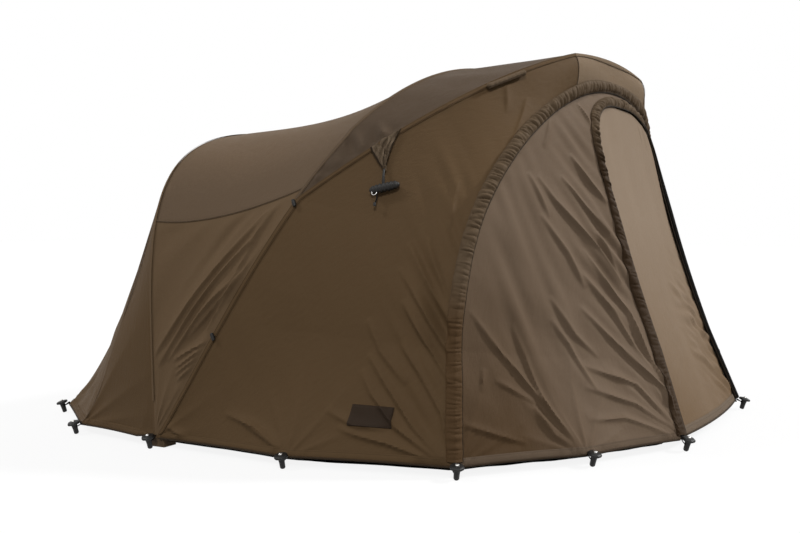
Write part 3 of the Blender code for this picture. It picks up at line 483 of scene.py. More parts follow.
REAR_CREASES = [
    ([(-0.42, 0.79), (-0.24, 0.58), (0.00, 0.28)], 0.018, 0.0130),
    ([(-0.45, 0.82), (-0.37, 0.68), (-0.19, 0.48), (-0.02, 0.25)], 0.016, 0.0120),
    ([(-0.38, 0.69), (-0.32, 0.55), (-0.19, 0.43), (-0.06, 0.27)], 0.014, 0.0100),
    ([(-0.43, 0.69), (-0.31, 0.52), (-0.14, 0.35)], 0.013, 0.0100),
    ([(-0.35, 0.57), (-0.27, 0.46), (-0.22, 0.38)], 0.012, 0.0070),
    ([(-0.26, 0.36), (-0.15, 0.31), (-0.08, 0.27)], 0.008, 0.0060),
    ([(-0.23, 0.335), (-0.09, 0.245)], 0.008, 0.0060),
    ([(-0.21, 0.305), (-0.09, 0.225)], 0.008, 0.0055),
    ([(-0.19, 0.275), (-0.10, 0.205)], 0.008, 0.0050),
]


DOOR_CREASES = [
    ([(0.215, 1.15), (0.225, 1.06)], 0.006, 0.0022),
    ([(0.262, 1.15), (0.272, 1.04)], 0.006, 0.0026),
    ([(0.302, 1.12), (0.312, 1.05)], 0.006, 0.0020),
    ([(0.05, 0.52), (0.22, 0.40), (0.38, 0.33)], 0.012, 0.0045),
    ([(0.12, 0.40), (0.28, 0.30), (0.40, 0.25)], 0.011, 0.0050),
    ([(0.02, 0.26), (0.22, 0.16), (0.42, 0.05)], 0.013, 0.0065),
    ([(0.10, 0.24), (0.30, 0.14), (0.43, 0.04)], 0.011, 0.0060),
    ([(0.16, 0.14), (0.30, 0.07), (0.40, 0.03)], 0.010, 0.0050),
    ([(-0.41, 0.06), (-0.24, 0.20), (-0.10, 0.27)], 0.013, 0.0028),
]
SIDE_FANS = [
    ((-1.10, 0.0), 0.0060, [(97, 0.30), (106, 0.45), (115, 0.34), (150, 0.30), (165, 0.26)]),
    ((-0.57, 0.0), 0.0050, [(28, 0.22), (62, 0.20), (95, 0.30), (128, 0.22), (155, 0.20)]),
    ((0.0, 0.0), 0.0050, [(110, 0.20), (128, 0.30), (146, 0.25), (165, 0.15)]),
]
FRONT_FANS = [
    ((-1.19, 0.0), 0.0050, [(12, 0.20), (28, 0.24), (46, 0.26), (64, 0.34), (80, 0.45)]),
    ((-0.83, 0.0), 0.0055, [(20, 0.18), (48, 0.24), (75, 0.36), (100, 0.45), (125, 0.30), (155, 0.20)]),
    ((-0.43, 0.0), 0.0060, [(88, 0.55), (98, 0.45), (110, 0.36), (126, 0.38), (142, 0.30), (160, 0.24)]),
]
REAR_FANS = [((0.0, 0.02), 0.0050, [(84, 0.5), (97, 0.36), (110, 0.40), (124, 0.34), (140, 0.20)])]
BACK_FANS = [
    ((-0.94, 0.0), 0.0065, [(40, 0.20), (64, 0.34), (88, 0.50), (112, 0.34), (140, 0.22)]),
    ((-0.02, 0.0), 0.0040, [(35, 0.2), (62, 0.3), (90, 0.4), (118, 0.3), (145, 0.2)]),
]
BACK_CORNER_FANS = [((0.405, 0.0), 0.0065, [(95, 0.45), (112, 0.50), (130, 0.42), (150, 0.36), (168, 0.30)])]
SIDE_WAVES = [
    (0.0060, 57.0, 0.026, 3, (7.0, 1.0), (-1.00, 0.52), (0.10, 0.32)),
    (0.0008, 60.0, 0.060, 4, (3.0, 1.0)),
]
FRONT_WAVES = [
    (0.0060, -52.0, 0.030, 7, (7.0, 1.0), (-0.46, 0.62), (0.14, 0.40)),
    (0.0030, -75.0, 0.034, 9, (6.0, 1.0), (-0.86, 0.55), (0.16, 0.40)),
    (0.0010, -60.0, 0.055, 8, (2.5, 1.0)),
]
REAR_WAVES = [
    (0.0050, 128.0, 0.030, 11, (7.0, 1.0), (-0.34, 0.55), (0.14, 0.26)),
    (0.0014, 128.0, 0.060, 12, (3.0, 1.0)),
]
BACK_WAVES = [(0.0020, 90.0, 0.060, 15, (3.5, 1.0))]
ROOF_WAVES = [(0.0012, 0.0, 0.110, 17, (1.0, 2.5))]
VISOR_WAVES = [(0.0011, 0.0, 0.080, 19, (1.0, 2.0))]
VISOR_END_WAVES = [(0.0080, 48.0, 0.024, 20, (7.0, 1.0))]
DOOR_WAVES = [
    (0.0040, -25.0, 0.022, 24, (4.0, 1.0), (0.26, 0.30), (0.16, 0.22)),
    (0.0008, 90.0, 0.080, 23, (3.5, 1.0)),
]


def from_side(points):
    return points[..., 1:3]


def from_front(points):
    return np.stack([-np.abs(points[..., 0]), points[..., 2]], axis=-1)


def side_folds(points):
    flat = from_side(points)
    return creases(flat, SIDE_CREASES, 1, gain=2.2) + fans(flat, SIDE_FANS) + waves(flat, SIDE_WAVES)


def front_folds(points):
    flat = from_front(points)
    return creases(flat, FRONT_CREASES, -1, gain=2.0) + fans(flat, FRONT_FANS) + waves(flat, FRONT_WAVES)


def rear_side_folds(points):
    flat = from_side(points)
    return creases(flat, REAR_CREASES, -1, gain=1.9) + fans(flat, REAR_FANS) + waves(flat, REAR_WAVES)


def back_folds(points):
    """Folds of the back wall and its skirts: fans at the pegs, and soft hanging folds."""
    flat = from_front(points)
    at_corner = eased((np.abs(points[..., 0]) - 0.95) / 0.15)
    corner = fans(from_side(points), BACK_CORNER_FANS) * at_corner
    return fans(flat, BACK_FANS) + corner + waves(flat, BACK_WAVES)


def roof_folds(points):
    return waves(points[..., :2], ROOF_WAVES)


def visor_folds(points):
    """Hardly any but for the low ends, where the cloth is drawn in towards the shoulders."""
    ends = eased((np.abs(points[..., 0]) - 0.80) / 0.25) * (1 - eased((points[..., 2] - 0.99) / 0.10))
    return waves(points[..., :2], VISOR_WAVES) + ends * waves(from_side(points), VISOR_END_WAVES)


def door_folds(points):
    flat = points[..., (0, 2)]
    return creases(flat, DOOR_CREASES, -1, gain=1.7, steepness=0.6) + waves(flat, DOOR_WAVES)


def no_folds(points):
    return np.zeros(points.shape[:-1])


class Cloth:
    """A panel's surface with its folds: at(s, v, lift) gives places on it."""

    def __init__(self, surface, folds, slack=0.03, seam_share=None):
        self.surface = surface
        self.folds = folds
        self.slack = slack
        self.seam_share = seam_share

    def ruling(self, s):
        zero = np.zeros_like(np.asarray(s, dtype=float))
        return np.linalg.norm(self.surface(s, zero + 1.0) - self.surface(s, zero), axis=-1)

    def normal(self, s, v, step=0.003):
        at = self.surface
        ahead = at(np.minimum(s + step, 1.0), v) - at(np.maximum(s - step, 0.0), v)
        across = at(s, np.minimum(v + step, 1.0)) - at(s, np.maximum(v - step, 0.0))
        normal = unit(np.cross(ahead, across))
        inside = np.sum(normal * inward(self.surface(s, v)), axis=-1, keepdims=True) > 0
        return np.where(inside, -normal, normal)

    def at(self, s, v, lift=0.0):
        s, v, lift = np.broadcast_arrays(np.asarray(s, float), np.asarray(v, float), lift)
        points = self.surface(s, v)
        length = self.ruling(s)
        loose = eased(v * length / self.slack) * eased((1 - v) * length / self.slack)
        if self.seam_share is not None:
            loose = loose * eased(np.abs(halves(s)[0] - self.seam_share) / SEAM_FADE)
        height = self.folds(points) * loose + lift
        return points + self.normal(s, v) * height[..., None]

    def sheet(self, s_ends, v_gaps, counts):
        """A grid of the panel, which stops short of its two long edges by v_gaps in metres."""
        s = np.linspace(*s_ends, counts[0])[:, None]
        length = np.maximum(self.ruling(s), 1e-4)
        low = np.minimum(v_gaps[0] / length, 0.2)
        high = 1.0 - np.minimum(v_gaps[1] / length, 0.2)
        v = lerp(low, high, np.linspace(0.0, 1.0, counts[1])[None, :])
        return self.at(s + v * 0, v)


SEAM_FADE = 0.012  # the share of the rib in which folds fade at the roof's side seam
rear_roof = Cloth(rear_roof_at, roof_folds, seam_share=SEAM_SHARE)
rear_side = Cloth(rear_roof_at, rear_side_folds, seam_share=SEAM_SHARE)
visor_roof = Cloth(visor_roof_at, visor_folds)
side_wall = Cloth(side_wall_at, side_folds)
fascia = Cloth(side_wall_at, no_folds)
front_wall = Cloth(front_wall_at, front_folds)
back_wall = Cloth(back_wall_at, back_folds)
door = Cloth(door_at, door_folds)


# Finishes
class Amount:
    """A node's output. Python's own signs on it add Math nodes."""

    def __init__(self, paint, socket):
        self.paint = paint
        self.socket = socket

    def sum_of(self, operation, first, second):
        return self.paint.node("ShaderNodeMath", {"operation": operation}, {0: first, 1: second})

    def __add__(self, other):
        return self.sum_of("ADD", self, other)

    def __sub__(self, other):
        return self.sum_of("SUBTRACT", self, other)

    def __rsub__(self, other):
        return self.sum_of("SUBTRACT", other, self)

    def __mul__(self, other):
        return self.sum_of("MULTIPLY", self, other)

    def __lt__(self, other):
        return self.sum_of("LESS_THAN", self, other)

    def __mod__(self, other):
        return self.sum_of("FLOORED_MODULO", self, other)

    def __abs__(self):
        return self.sum_of("ABSOLUTE", self, 0.0)

    def wave(self):
        return self.sum_of("SINE", self, 0.0)

    __radd__ = __add__
    __rmul__ = __mul__


class Nodes:
    """The nodes of a material or of the world."""

    def __init__(self, tree):
        self.tree = tree

    def set(self, socket, value):
        if isinstance(value, Amount):
            self.tree.links.new(value.socket, socket)
        elif socket.type == "RGBA" and len(value) == 3:
            socket.default_value = (*value, 1.0)
        else:
            socket.default_value = value

    def node(self, kind, settings=None, sockets=None, out=0):
        made = self.tree.nodes.new(kind)
        for name, value in (settings or {}).items():
            setattr(made, name, value)
        for name, value in (sockets or {}).items():
            self.set(made.inputs[name], value)
        return Amount(self, made.outputs[out])

    def looked_at(self):
        """1 where the camera sees this straight, or in metal or glass."""
        rays = self.node("ShaderNodeLightPath").socket.node.outputs
        seen = Amount(self, rays["Is Camera Ray"])
        for name in ("Is Glossy Ray", "Is Transmission Ray"):
            seen = seen.sum_of("MAXIMUM", seen, Amount(self, rays[name]))
        return seen


class Paint(Nodes):
    """A material with one main shader."""

    def __init__(self, name, roughness, metallic=0.0, gloss=0.5):
        self.material = bpy.data.materials.new(name)
        self.material.use_nodes = True
        super().__init__(self.material.node_tree)
        self.shader = self.tree.nodes["Principled BSDF"]
        self.set(self.shader.inputs["Roughness"], roughness)
        self.set(self.shader.inputs["Metallic"], metallic)
        self.set(self.shader.inputs["Specular IOR Level"], gloss)

    def noise(self, place, scale, detail=2.0):
        return self.node("ShaderNodeTexNoise", None, {"Vector": place, "Scale": scale, "Detail": detail})

    def mix(self, mask, first, second):
        return self.node("ShaderNodeMix", {"data_type": "RGBA"}, {0: mask, 6: first, 7: second}, out=2)

    def stretch(self, place, by):
        return self.node("ShaderNodeVectorMath", {"operation": "MULTIPLY"}, {0: place, 1: by})

    def bump(self, height, distance, strength, over=None):
        sockets = {"Height": height, "Distance": distance, "Strength": strength}
        if over is not None:
            sockets["Normal"] = over
        return self.node("ShaderNodeBump", None, sockets)

    def parts(self, place):
        """The three coordinates of a place."""
        split = self.node("ShaderNodeSeparateXYZ", None, {0: place})
        return [Amount(self, socket) for socket in split.socket.node.outputs]

    def on_cloth(self):
        """The place on the flat cloth in metres, and how far it is along and across."""
        place = self.node("ShaderNodeUVMap", {"uv_map": "cloth"})
        along, across, _ = self.parts(place)
        return place, along, across

    def in_tent(self):
        """The place in the piece's own axes, which are the tent's."""
        return self.node("ShaderNodeTexCoord", None, None, out=3)

    def shine(self, **sockets):
        for name, value in sockets.items():
            self.set(self.shader.inputs[name.replace("_", " ").title()], value)


def shade(colour, by):
    return tuple(c * by for c in colour)


def cloth_finish(name, colour, thread=0.0011, roughness=0.66, wear=0.07, leg=None, soiled=None):
    """Coated woven cloth: a fine weave, soft fading and a little crumpling. A zip cover's leg is painted
    darker, as shade:
    leg gives its colour, half the cover's length, and how far from the top it starts. The last argument
    paints shade
    low down: darker from its first number, in metres off the middle plane, growing over its second."""
    paint = Paint(name, roughness, gloss=CLOTH_GLOSS)
    place, along, across = paint.on_cloth()
    turn = 2 * math.pi / thread
    weave = (along * turn).wave() * (across * turn).wave()
    fading, mottle, grain = (paint.noise(place, *noise) for noise in (FADING, MOTTLE, GRAIN))
    tone = fading * (wear * 4) + mottle * wear + grain * wear + (0.5 - wear * 3) + weave * 0.04

    def toned(middle):
        return paint.mix(tone, shade(middle, CLOTH_DARK), shade(middle, CLOTH_LIGHT))

    base = toned(colour)
    if leg:
        # The leg colour is painted shade on the cover's legs
        shaded_leg_colour, half_length, crown_reach = leg
        below = (abs(along - half_length) - crown_reach) * LEG_SHADE_CHANGE
        base = paint.mix(below, base, toned(shaded_leg_colour))
    if soiled:
        # Painted shade: the cloth turns darker towards the ground
        outer, wide = soiled
        sideways, _, high = paint.parts(paint.in_tent())
        low = 1.15 - high * (1.0 / LOW_SHADE_HEIGHT)
        dull = toned(tuple(c * soil for c, soil in zip(colour, LOW_PAINTED_SHADE)))
        dull = paint.mix(low + (fading - 0.5) * 0.4, base, dull)
        base = paint.mix((abs(sideways) - outer) * (1.0 / wide), base, dull)
    crumple = paint.noise(paint.stretch(place, (1.0, 1.6, 1.0)), 34.0, 3.0)
    fine = paint.bump(weave * 0.5 + grain * 0.5, 0.00018, 0.6)
    paint.shine(Base_Color=base, Normal=paint.bump(crumple, 0.0026, 0.5, over=fine))
    paint.shine(Roughness=mottle * 0.16 + (roughness - 0.08))
    return paint.material


def band_finish(name, colour, width, contrast=1.0, line=0.36):
    """Woven tape with a row of stitches near each long edge; its UVs run along and across in metres."""
    paint = Paint(name, 0.7, gloss=CLOTH_GLOSS)
    place, along, across = paint.on_cloth()
    from_row = width / 2 - width * STITCH_INSET
    in_row = abs(abs(across - width / 2) - from_row) < STITCH_WIDTH
    stitch = in_row * ((along % STITCH_PITCH) < STITCH_LENGTH)
    turn = 2 * math.pi / TAPE_RIB
    ribs = (along * turn + across * turn).wave()
    soil = paint.noise(place, 30.0, 3.0)
    tone = soil * 0.7 + 0.15 + ribs * 0.06
    cloth = paint.mix(tone, shade(colour, 1.0 - 0.24 * contrast), shade(colour, 1.0 + 0.22 * contrast))
    base = paint.mix(in_row, cloth, shade(colour, line))
    base = paint.mix(stitch, base, shade(colour, lerp(line, 1.0, 0.4)))
    height = ribs * 0.2 + stitch * 0.6 - in_row * 0.8 + soil * 0.6
    paint.shine(Base_Color=base, Normal=paint.bump(height, 0.0006, 0.7))
    return paint.material


def moulded_finish(name, colour, roughness):
    """Moulded plastic with a fine texture and scuffed raised places."""
    paint = Paint(name, roughness, gloss=0.3)
    place = paint.in_tent()
    texture = paint.noise(place, 900.0, 2.0)
    scuffs = paint.noise(paint.stretch(place, (1.0, 1.0, 0.4)), 60.0, 4.0)
    paint.shine(Base_Color=paint.mix(scuffs, shade(colour, 0.6), shade(colour, 1.9)))
    paint.shine(Roughness=scuffs * 0.3 + (roughness - 0.12), Normal=paint.bump(texture, 0.00015, 0.5))
    return paint.material


def metal_finish(name, colour, roughness, drawn=(1.0, 1.0, 1.0)):
    """Metal with fine marks, drawn out the way that drawn says, and dulled patches."""
    paint = Paint(name, roughness, 1.0)
    place = paint.in_tent()
    marks = paint.noise(paint.stretch(place, drawn), 420.0, 3.0)
    dull = paint.noise(place, 14.0, 4.0)
    paint.shine(Base_Color=paint.mix(dull, shade(colour, 0.7), shade(colour, 1.15)))
    paint.shine(Roughness=marks * 0.12 + dull * 0.2 + (roughness - 0.14))
    paint.shine(Normal=paint.bump(marks, 0.00006, 0.5))
    return paint.material


def coil_finish(name, pitch):
    """Zip teeth: a nylon coil whose turns show as ridges across the line."""
    paint = Paint(name, 0.38)
    place, along, _ = paint.on_cloth()
    turns = (along * (2 * math.pi / pitch)).wave()
    wear = paint.noise(place, 80.0, 2.0)
    paint.shine(Base_Color=paint.mix(turns * 0.4 + 0.5, (0.006, 0.005, 0.005), (0.030, 0.026, 0.022)))
    paint.shine(Normal=paint.bump(turns + wear * 0.3, 0.0008, 0.9))
    return paint.material


FADING, MOTTLE, GRAIN = (1.7, 4.0), (23.0, 3.0), (310.0, 1.0)  # the scale and detail of cloth's unevenness
CLOTH_GLOSS = 0.08
CLOTH_DARK, CLOTH_LIGHT = 0.84, 1.16  # how far a cloth's colour wanders
STITCH_PITCH, STITCH_LENGTH, STITCH_WIDTH = 0.0042, 0.0030, 0.0011
STITCH_INSET = 0.16  # the share of a band's width from its edge to its row of stitches
TAPE_RIB = 0.0016
LEG_SHADE_CHANGE = 7.0  # one over the metres in which a cover turns to its leg colour, the painted shade of its legs
# Each panel's colour is the same cloth with painted light and shade: lighter where a panel faces the lamps,
# such as the door, and darker where it faces away, such as the side walls
ROOF_PAINTED_SHADING = (0.137, 0.093, 0.058)
VISOR_PAINTED_SHADING = (0.083, 0.057, 0.037)
REAR_SIDE_PAINTED_SHADING = (0.141, 0.091, 0.050)
WALL_PAINTED_SHADING = (0.108, 0.066, 0.032)
FRONT_PAINTED_SHADING = (0.152, 0.106, 0.070)
DOOR_PAINTED_SHADING = (0.257, 0.189, 0.130)
FASCIA_PAINTED_SHADING = (0.202, 0.141, 0.087)
COVER_PAINTED_SHADING = (0.104, 0.070, 0.041)
# Darker legs for the zip covers: painted shade where the legs face away from the light
OUTER_LEG_PAINTED_SHADE = (0.083, 0.047, 0.021)
DOOR_LEG_PAINTED_SHADE = (0.040, 0.023, 0.011)
BACK_PAINTED_SHADING = (0.107, 0.066, 0.033)
# The front and the door take painted shade, darker towards the ground
LOW_PAINTED_SHADE, LOW_SHADE_HEIGHT = (0.54, 0.45, 0.32), 0.68
roof_finish = cloth_finish("roof_cloth_woven", ROOF_PAINTED_SHADING)
visor_finish = cloth_finish("visor_cloth_woven", VISOR_PAINTED_SHADING)
rear_side_finish = cloth_finish("rear_side_cloth_woven", REAR_SIDE_PAINTED_SHADING)
wall_finish = cloth_finish("wall_cloth_woven", WALL_PAINTED_SHADING)
back_finish = cloth_finish("back_cloth_woven", BACK_PAINTED_SHADING)
front_finish = cloth_finish("front_cloth_woven", FRONT_PAINTED_SHADING, soiled=(0.74, 0.26))
fascia_finish = cloth_finish("fascia_cloth_woven", FASCIA_PAINTED_SHADING)
door_finish = cloth_finish("door_cloth_woven", DOOR_PAINTED_SHADING, wear=0.04, soiled=(-1.0, 1.5))
ground_finish = cloth_finish("ground_cloth_coated", (0.035, 0.034, 0.030), thread=0.0020, roughness=0.5)
outer_cover_finish = cloth_finish("outer_cover_cloth_woven", COVER_PAINTED_SHADING,
                                  leg=(OUTER_LEG_PAINTED_SHADE, length_of(outer_zip_line) / 2, 1.40))
door_cover_finish = cloth_finish("door_cover_cloth_woven", COVER_PAINTED_SHADING,
                                 leg=(DOOR_LEG_PAINTED_SHADE, length_of(door_zip_line) / 2, 0.36))
piping_finish = cloth_finish("dark_piping", (0.026, 0.018, 0.011))
# Near black: the painted shadow down the door's right edge
shadow_rope_finish = cloth_finish("door_edge_painted_shadow", (0.010, 0.009, 0.008))
tab_finish = cloth_finish("tab_cloth_woven", (0.150, 0.108, 0.070))
tab_edge_finish = cloth_finish("tab_edge_dark", (0.024, 0.015, 0.008))
patch_finish = cloth_finish("patch_cloth_blank", (0.034, 0.022, 0.014), thread=0.0016, roughness=0.60)
# The bands and hems take the colours of the panels they lie on, with those panels' painted light and shade
edge_finish = band_finish("edge_band_stitched", WALL_PAINTED_SHADING, EDGE_BAND, 0.5)
brow_finish = band_finish("brow_band_stitched", shade(FASCIA_PAINTED_SHADING, 0.9), EDGE_BAND, 0.4, 0.8)
side_hem = band_finish("side_hem_stitched", WALL_PAINTED_SHADING, HEM_BAND, 0.4, 0.75)
# The front and door hems are darker: painted shade near the ground, as on the cloth above them
front_hem = band_finish("front_hem_stitched", shade(FRONT_PAINTED_SHADING, 0.80), HEM_BAND, 0.4, 0.75)
back_hem = band_finish("back_hem_stitched", BACK_PAINTED_SHADING, HEM_BAND, 0.4, 0.75)
door_hem = band_finish("door_hem_stitched", shade(DOOR_PAINTED_SHADING, 0.56), HEM_BAND, 0.4, 0.75)
# Dark brown: the painted shadow under each hem
hem_shadow_finish = cloth_finish("hem_edge_painted_shadow", (0.040, 0.026, 0.015))
strap_finish = band_finish("strap_webbing", (0.125, 0.086, 0.053), 0.016)
tape_finish = band_finish("zip_tape_black", (0.016, 0.013, 0.010), 0.024)
coil = coil_finish("zip_coil_black", 0.0030)
plastic_finish = moulded_finish("black_moulded_plastic", (0.0075, 0.0065, 0.0055), 0.5)
hub_finish = moulded_finish("brown_moulded_plastic", (0.075, 0.047, 0.025), 0.7)
peg_finish = moulded_finish("peg_moulded_plastic", (0.0060, 0.0055, 0.0050), 0.45)
tube_finish = metal_finish("dark_anodised_tube", (0.085, 0.080, 0.072), 0.40, (1.0, 0.15, 0.15))
steel_finish = metal_finish("bright_steel", (0.62, 0.61, 0.59), 0.32)
cord_finish = band_finish("black_cord_braid", (0.012, 0.011, 0.010), 0.008)


# Pieces
ROPE_END, ROPE_TIP = ((0.75, 0.55), (0.95, 0.15)), 0.6  # how a rope's end rounds off
SHARP_ANGLE = 50


class Piece:
    """Collects grids of points into one mesh. Each grid has its own finish, and its size in metres as UVs."""

    def __init__(self):
        self.points = []
        self.faces = []
        self.uvs = []
        self.slots = []
        self.finishes = []
        self.count = 0

    def grid(self, points, finish, closed=False, outward=True):
        rows, columns = points.shape[:2]
        index = self.count + np.arange(rows * columns).reshape(rows, columns)
        self.points.append(points.reshape(-1, 3))
        self.count += rows * columns
        loop = np.concatenate([points, points[:, :1]], axis=1) if closed else points
        if closed:
            index = np.concatenate([index, index[:, :1]], axis=1)
        along = np.broadcast_to(run_lengths(loop.mean(axis=1), 0)[:, None], index.shape)
        uv = np.stack([along, run_lengths(loop, 1)], axis=-1)
        order = [(slice(None, -1), slice(None, -1)), (slice(None, -1), slice(1, None)),
                 (slice(1, None), slice(1, None)), (slice(1, None), slice(None, -1))]
        if not outward:
            order = order[::-1]
        if finish not in self.finishes:
            self.finishes.append(finish)
        self.faces.append(np.stack([index[o] for o in order], axis=-1).reshape(-1, 4))
        self.uvs.append(np.stack([uv[o] for o in order], axis=2).reshape(-1, 2))
        self.slots.append(np.full((rows - 1) * (index.shape[1] - 1), self.finishes.index(finish)))
        return self

    def sheet(self, points, finish):
        """An open sheet whose faces look out of the tent."""
        normal = np.cross(np.gradient(points, axis=0), np.gradient(points, axis=1))
        facing = np.sum(normal * -inward(points))
        return self.grid(points, finish, outward=facing < 0)

    def rope(self, path, radius, finish, sides=10):
        """A round piece along a path; the radius may change along it. The ends are rounded."""
        path = np.array(path, dtype=float)
        radius = np.broadcast_to(np.asarray(radius, dtype=float), (len(path),))
        ahead = unit(np.gradient(path, axis=0))
        start = np.array([0.0, 0.0, 1.0]) if abs(ahead[0][2]) < 0.8 else np.array([1.0, 0.0, 0.0])
        across = unit(np.cross(ahead[0], start))
        rings = []
        turn = np.linspace(0, 2 * math.pi, sides, endpoint=False)[:, None]
        for here, way, size in zip(path, ahead, radius):
            across = unit(across - way * np.dot(across, way))
            rings.append(here + (across * np.cos(turn) + np.cross(way, across) * np.sin(turn)) * size)
        ends = []
        for k, sign in ((0, -1), (-1, 1)):
            middle = rings[k].mean(axis=0)
            tip = ahead[k] * radius[k] * sign
            ends.append([middle + (rings[k] - middle) * narrow + tip * out * ROPE_TIP
                         for out, narrow in ROPE_END])
        rings = ends[0][::-1] + rings + ends[1]
        return self.grid(np.array(rings), finish, closed=True)

    def lathe(self, profile, centre, axis, finish, sides=24, flutes=0, depth=0.0):
        """A turned shape: a profile of (radius, height) about an axis, with flutes if wanted."""
        axis = unit(np.array(axis, dtype=float))
        side = unit(np.cross(axis, (0.3, 0.9, 0.1)))
        other = np.cross(axis, side)
        turn = np.linspace(0, 2 * math.pi, sides, endpoint=False)
        ripple = 1.0 + depth * np.cos(turn * flutes)
        rows = []
        for radius, height in profile:
            reach = (radius * ripple)[:, None]
            out = side * np.cos(turn)[:, None] + other * np.sin(turn)[:, None]
            rows.append(np.array(centre) + out * reach + axis * height)
        return self.grid(np.array(rows), finish, closed=True)

    def made(self, name, lift=STAND):
        mesh = bpy.data.meshes.new(name)
        points = np.concatenate(self.points) + (0.0, 0.0, lift)
        faces = np.concatenate(self.faces)
        mesh.from_pydata(points.tolist(), [], faces.tolist())
        layer = mesh.uv_layers.new(name="cloth")
        layer.data.foreach_set("uv", np.concatenate(self.uvs).astype(np.float32).ravel())
        for finish in self.finishes:
            mesh.materials.append(finish)
        mesh.polygons.foreach_set("material_index", np.concatenate(self.slots).astype(np.int32))
        mesh.shade_smooth()
        mesh.set_sharp_from_angle(angle=math.radians(SHARP_ANGLE))
        mesh.validate()
        mesh.update()
        made = bpy.data.objects.new(name, mesh)
        bpy.context.scene.collection.objects.link(made)
        return made


POINTED_FILL = 0.45  # the least share of its length times its width that a cut fills


def cut_size(points):
    """The width, length and area of the flat cloth that a grid was cut from."""
    length = float(run_lengths(points, 0)[-1].max())
    width = float(run_lengths(points, 1)[:, -1].max())
    one = points[1:, 1:] - points[:-1, :-1]
    two = points[1:, :-1] - points[:-1, 1:]
    area = float(np.linalg.norm(np.cross(one, two), axis=-1).sum() / 2)
    width = min(width, area / (POINTED_FILL * length))  # a pointed cut is measured square to its length
    return width, length, area


def folds_with_walls(piece):
    """Hangs the piece on the root, with a mesh of its own."""
    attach(piece, "root")
    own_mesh(piece)


def bends_at_hubs(piece):
    """Bakes the piece's place into its mesh."""
    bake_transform(piece)


def bends_at_shoulders(piece):
    """Bakes the piece's place into its mesh."""
    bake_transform(piece)


def rides_on(body):
    return lambda piece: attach(piece, body)


def as_cloth(points, nodes, turned_in=0.0):
    """turned_in is the width of cloth that is rolled into the piece's edges."""
    width, length, area = cut_size(points)
    width += turned_in
    area += turned_in * length
    if nodes:
        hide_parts(*nodes)


def panel(name, points, finish, node, move):
    made = Piece().sheet(points, finish).made(name)
    as_cloth(points, [node])
    move(made)


def fitted(piece, name, move, node=None):
    """Makes a piece that isn't a sheet of cloth, in place of a node if one is named."""
    made = piece.made(name)
    if node:
        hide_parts(node)
    move(made)


SIDES = (("left", 1.0), ("right", -1.0))

# Roof, walls and front
panel("rear_roof_cloth", rear_roof.sheet((SEAM_SHARE, 1 - SEAM_SHARE), (0, 0), (220, 70)),
      roof_finish, "rear_roof", bends_at_hubs)
panel("visor_roof_cloth", visor_roof.sheet((0.0, 1.0), (0, 0), (260, 60)),
      visor_finish, "visor_roof", bends_at_shoulders)
panel("fascia_cloth", fascia.sheet((corner_share, 1 - corner_share), (0, ZIP_EDGE), (90, 24)),
      fascia_finish, "fascia", folds_with_walls)
panel("back_wall_cloth", back_wall.sheet((BACK_CORNER_SHARE, 1 - BACK_CORNER_SHARE), (0, 0), (260, 120)),
      back_finish, "back_wall", folds_with_walls)
# Name, cloth, both ends, gaps at the long edges, grid, finish, slot, how it moves and what it rests on
SIDE_PANELS = (
    ("rear_side", rear_side, (FOOT_SHARE, SEAM_SHARE), (0, 0), (110, 90),
     rear_side_finish, "roof_cloth", bends_at_hubs, ["main_rib", "rear_rib"]),
    ("rear_skirt", back_wall, (FOOT_SHARE, BACK_CORNER_SHARE), (0, 0), (80, 110),
     back_finish, "wall_cloth", folds_with_walls, ["rear_rib"]),
    ("side_wall", side_wall, (0.0, corner_share), (0, ZIP_EDGE), (300, 160),
     wall_finish, "wall_cloth", folds_with_walls, ["main_rib", "visor_bow"]),
    ("front_panel", front_wall, (0.0, 0.5), (ZIP_EDGE, ZIP_EDGE), (300, 160),
     front_finish, "front_cloth", folds_with_walls, ["outer_zip", "door_zip"]),
)
for word, side in SIDES:
    for stem, cloth, shares, gaps, counts, finish, slot, move, rests_on in SIDE_PANELS:
        points = cloth.sheet(to_side(np.array(shares), side), gaps, counts)
        panel(stem + "_cloth_" + word, points, finish, stem + "_" + word, move)


def drops_with_door(piece):
    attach(piece, "door")
    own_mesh(piece)


door_points = door.at(np.linspace(0, 1, 90)[None, :], np.linspace(0, 1, 130)[:, None])
panel("door_cloth", door_points, door_finish, "door_panel", drops_with_door)


# Hems: a stitched band over each panel's foot, and under it a dark rolled edge that paints the shadow under
# the hem
HEM_ROWS = 7
HEM_PROBE = 0.01  # a small share of a rib, to find how fast a wall rises from its foot
SHORTEST_SKIRT = 0.2  # where a skirt is shorter than this, its band narrows with it
DOOR_HEIGHT = 1.2


def hem(name, foot_and_top, finish, move=folds_with_walls):
    """The two lines are the line of the foot, and the same line a band's height up the cloth."""
    route, up = foot_and_top
    out = -inward(route)
    out[:, 2] = 0.0
    out = unit(out)
    rows = []
    for t in np.linspace(0.0, 1.0, HEM_ROWS):
        rows.append(lerp(route, up, t) + out * (0.0022 + 0.0022 * math.sin(math.pi * t)))
    rows = np.stack(rows, axis=1)
    piece = Piece().sheet(rows, finish)
    # The dark roll paints the shadow under the hem
    piece.rope(route + out * 0.0010, HEM_ROLL, hem_shadow_finish, 8)
    made = piece.made(name)
    as_cloth(rows, [], turned_in=2 * math.pi * HEM_ROLL)
    move(made)


def foot_lines(cloth, side, v_ends, count=160):
    """The foot line of a side wall or the front, and the line a hem band's height above it."""
    v = np.linspace(*v_ends, count)
    s = np.full(count, to_side(0.0, side))
    probe = np.full(count, to_side(HEM_PROBE, side))
    rise = np.linalg.norm(cloth.surface(probe, v) - cloth.surface(s, v), axis=-1)
    return cloth.at(s, v), cloth.at(to_side(HEM_PROBE * HEM_BAND / rise, side), v)


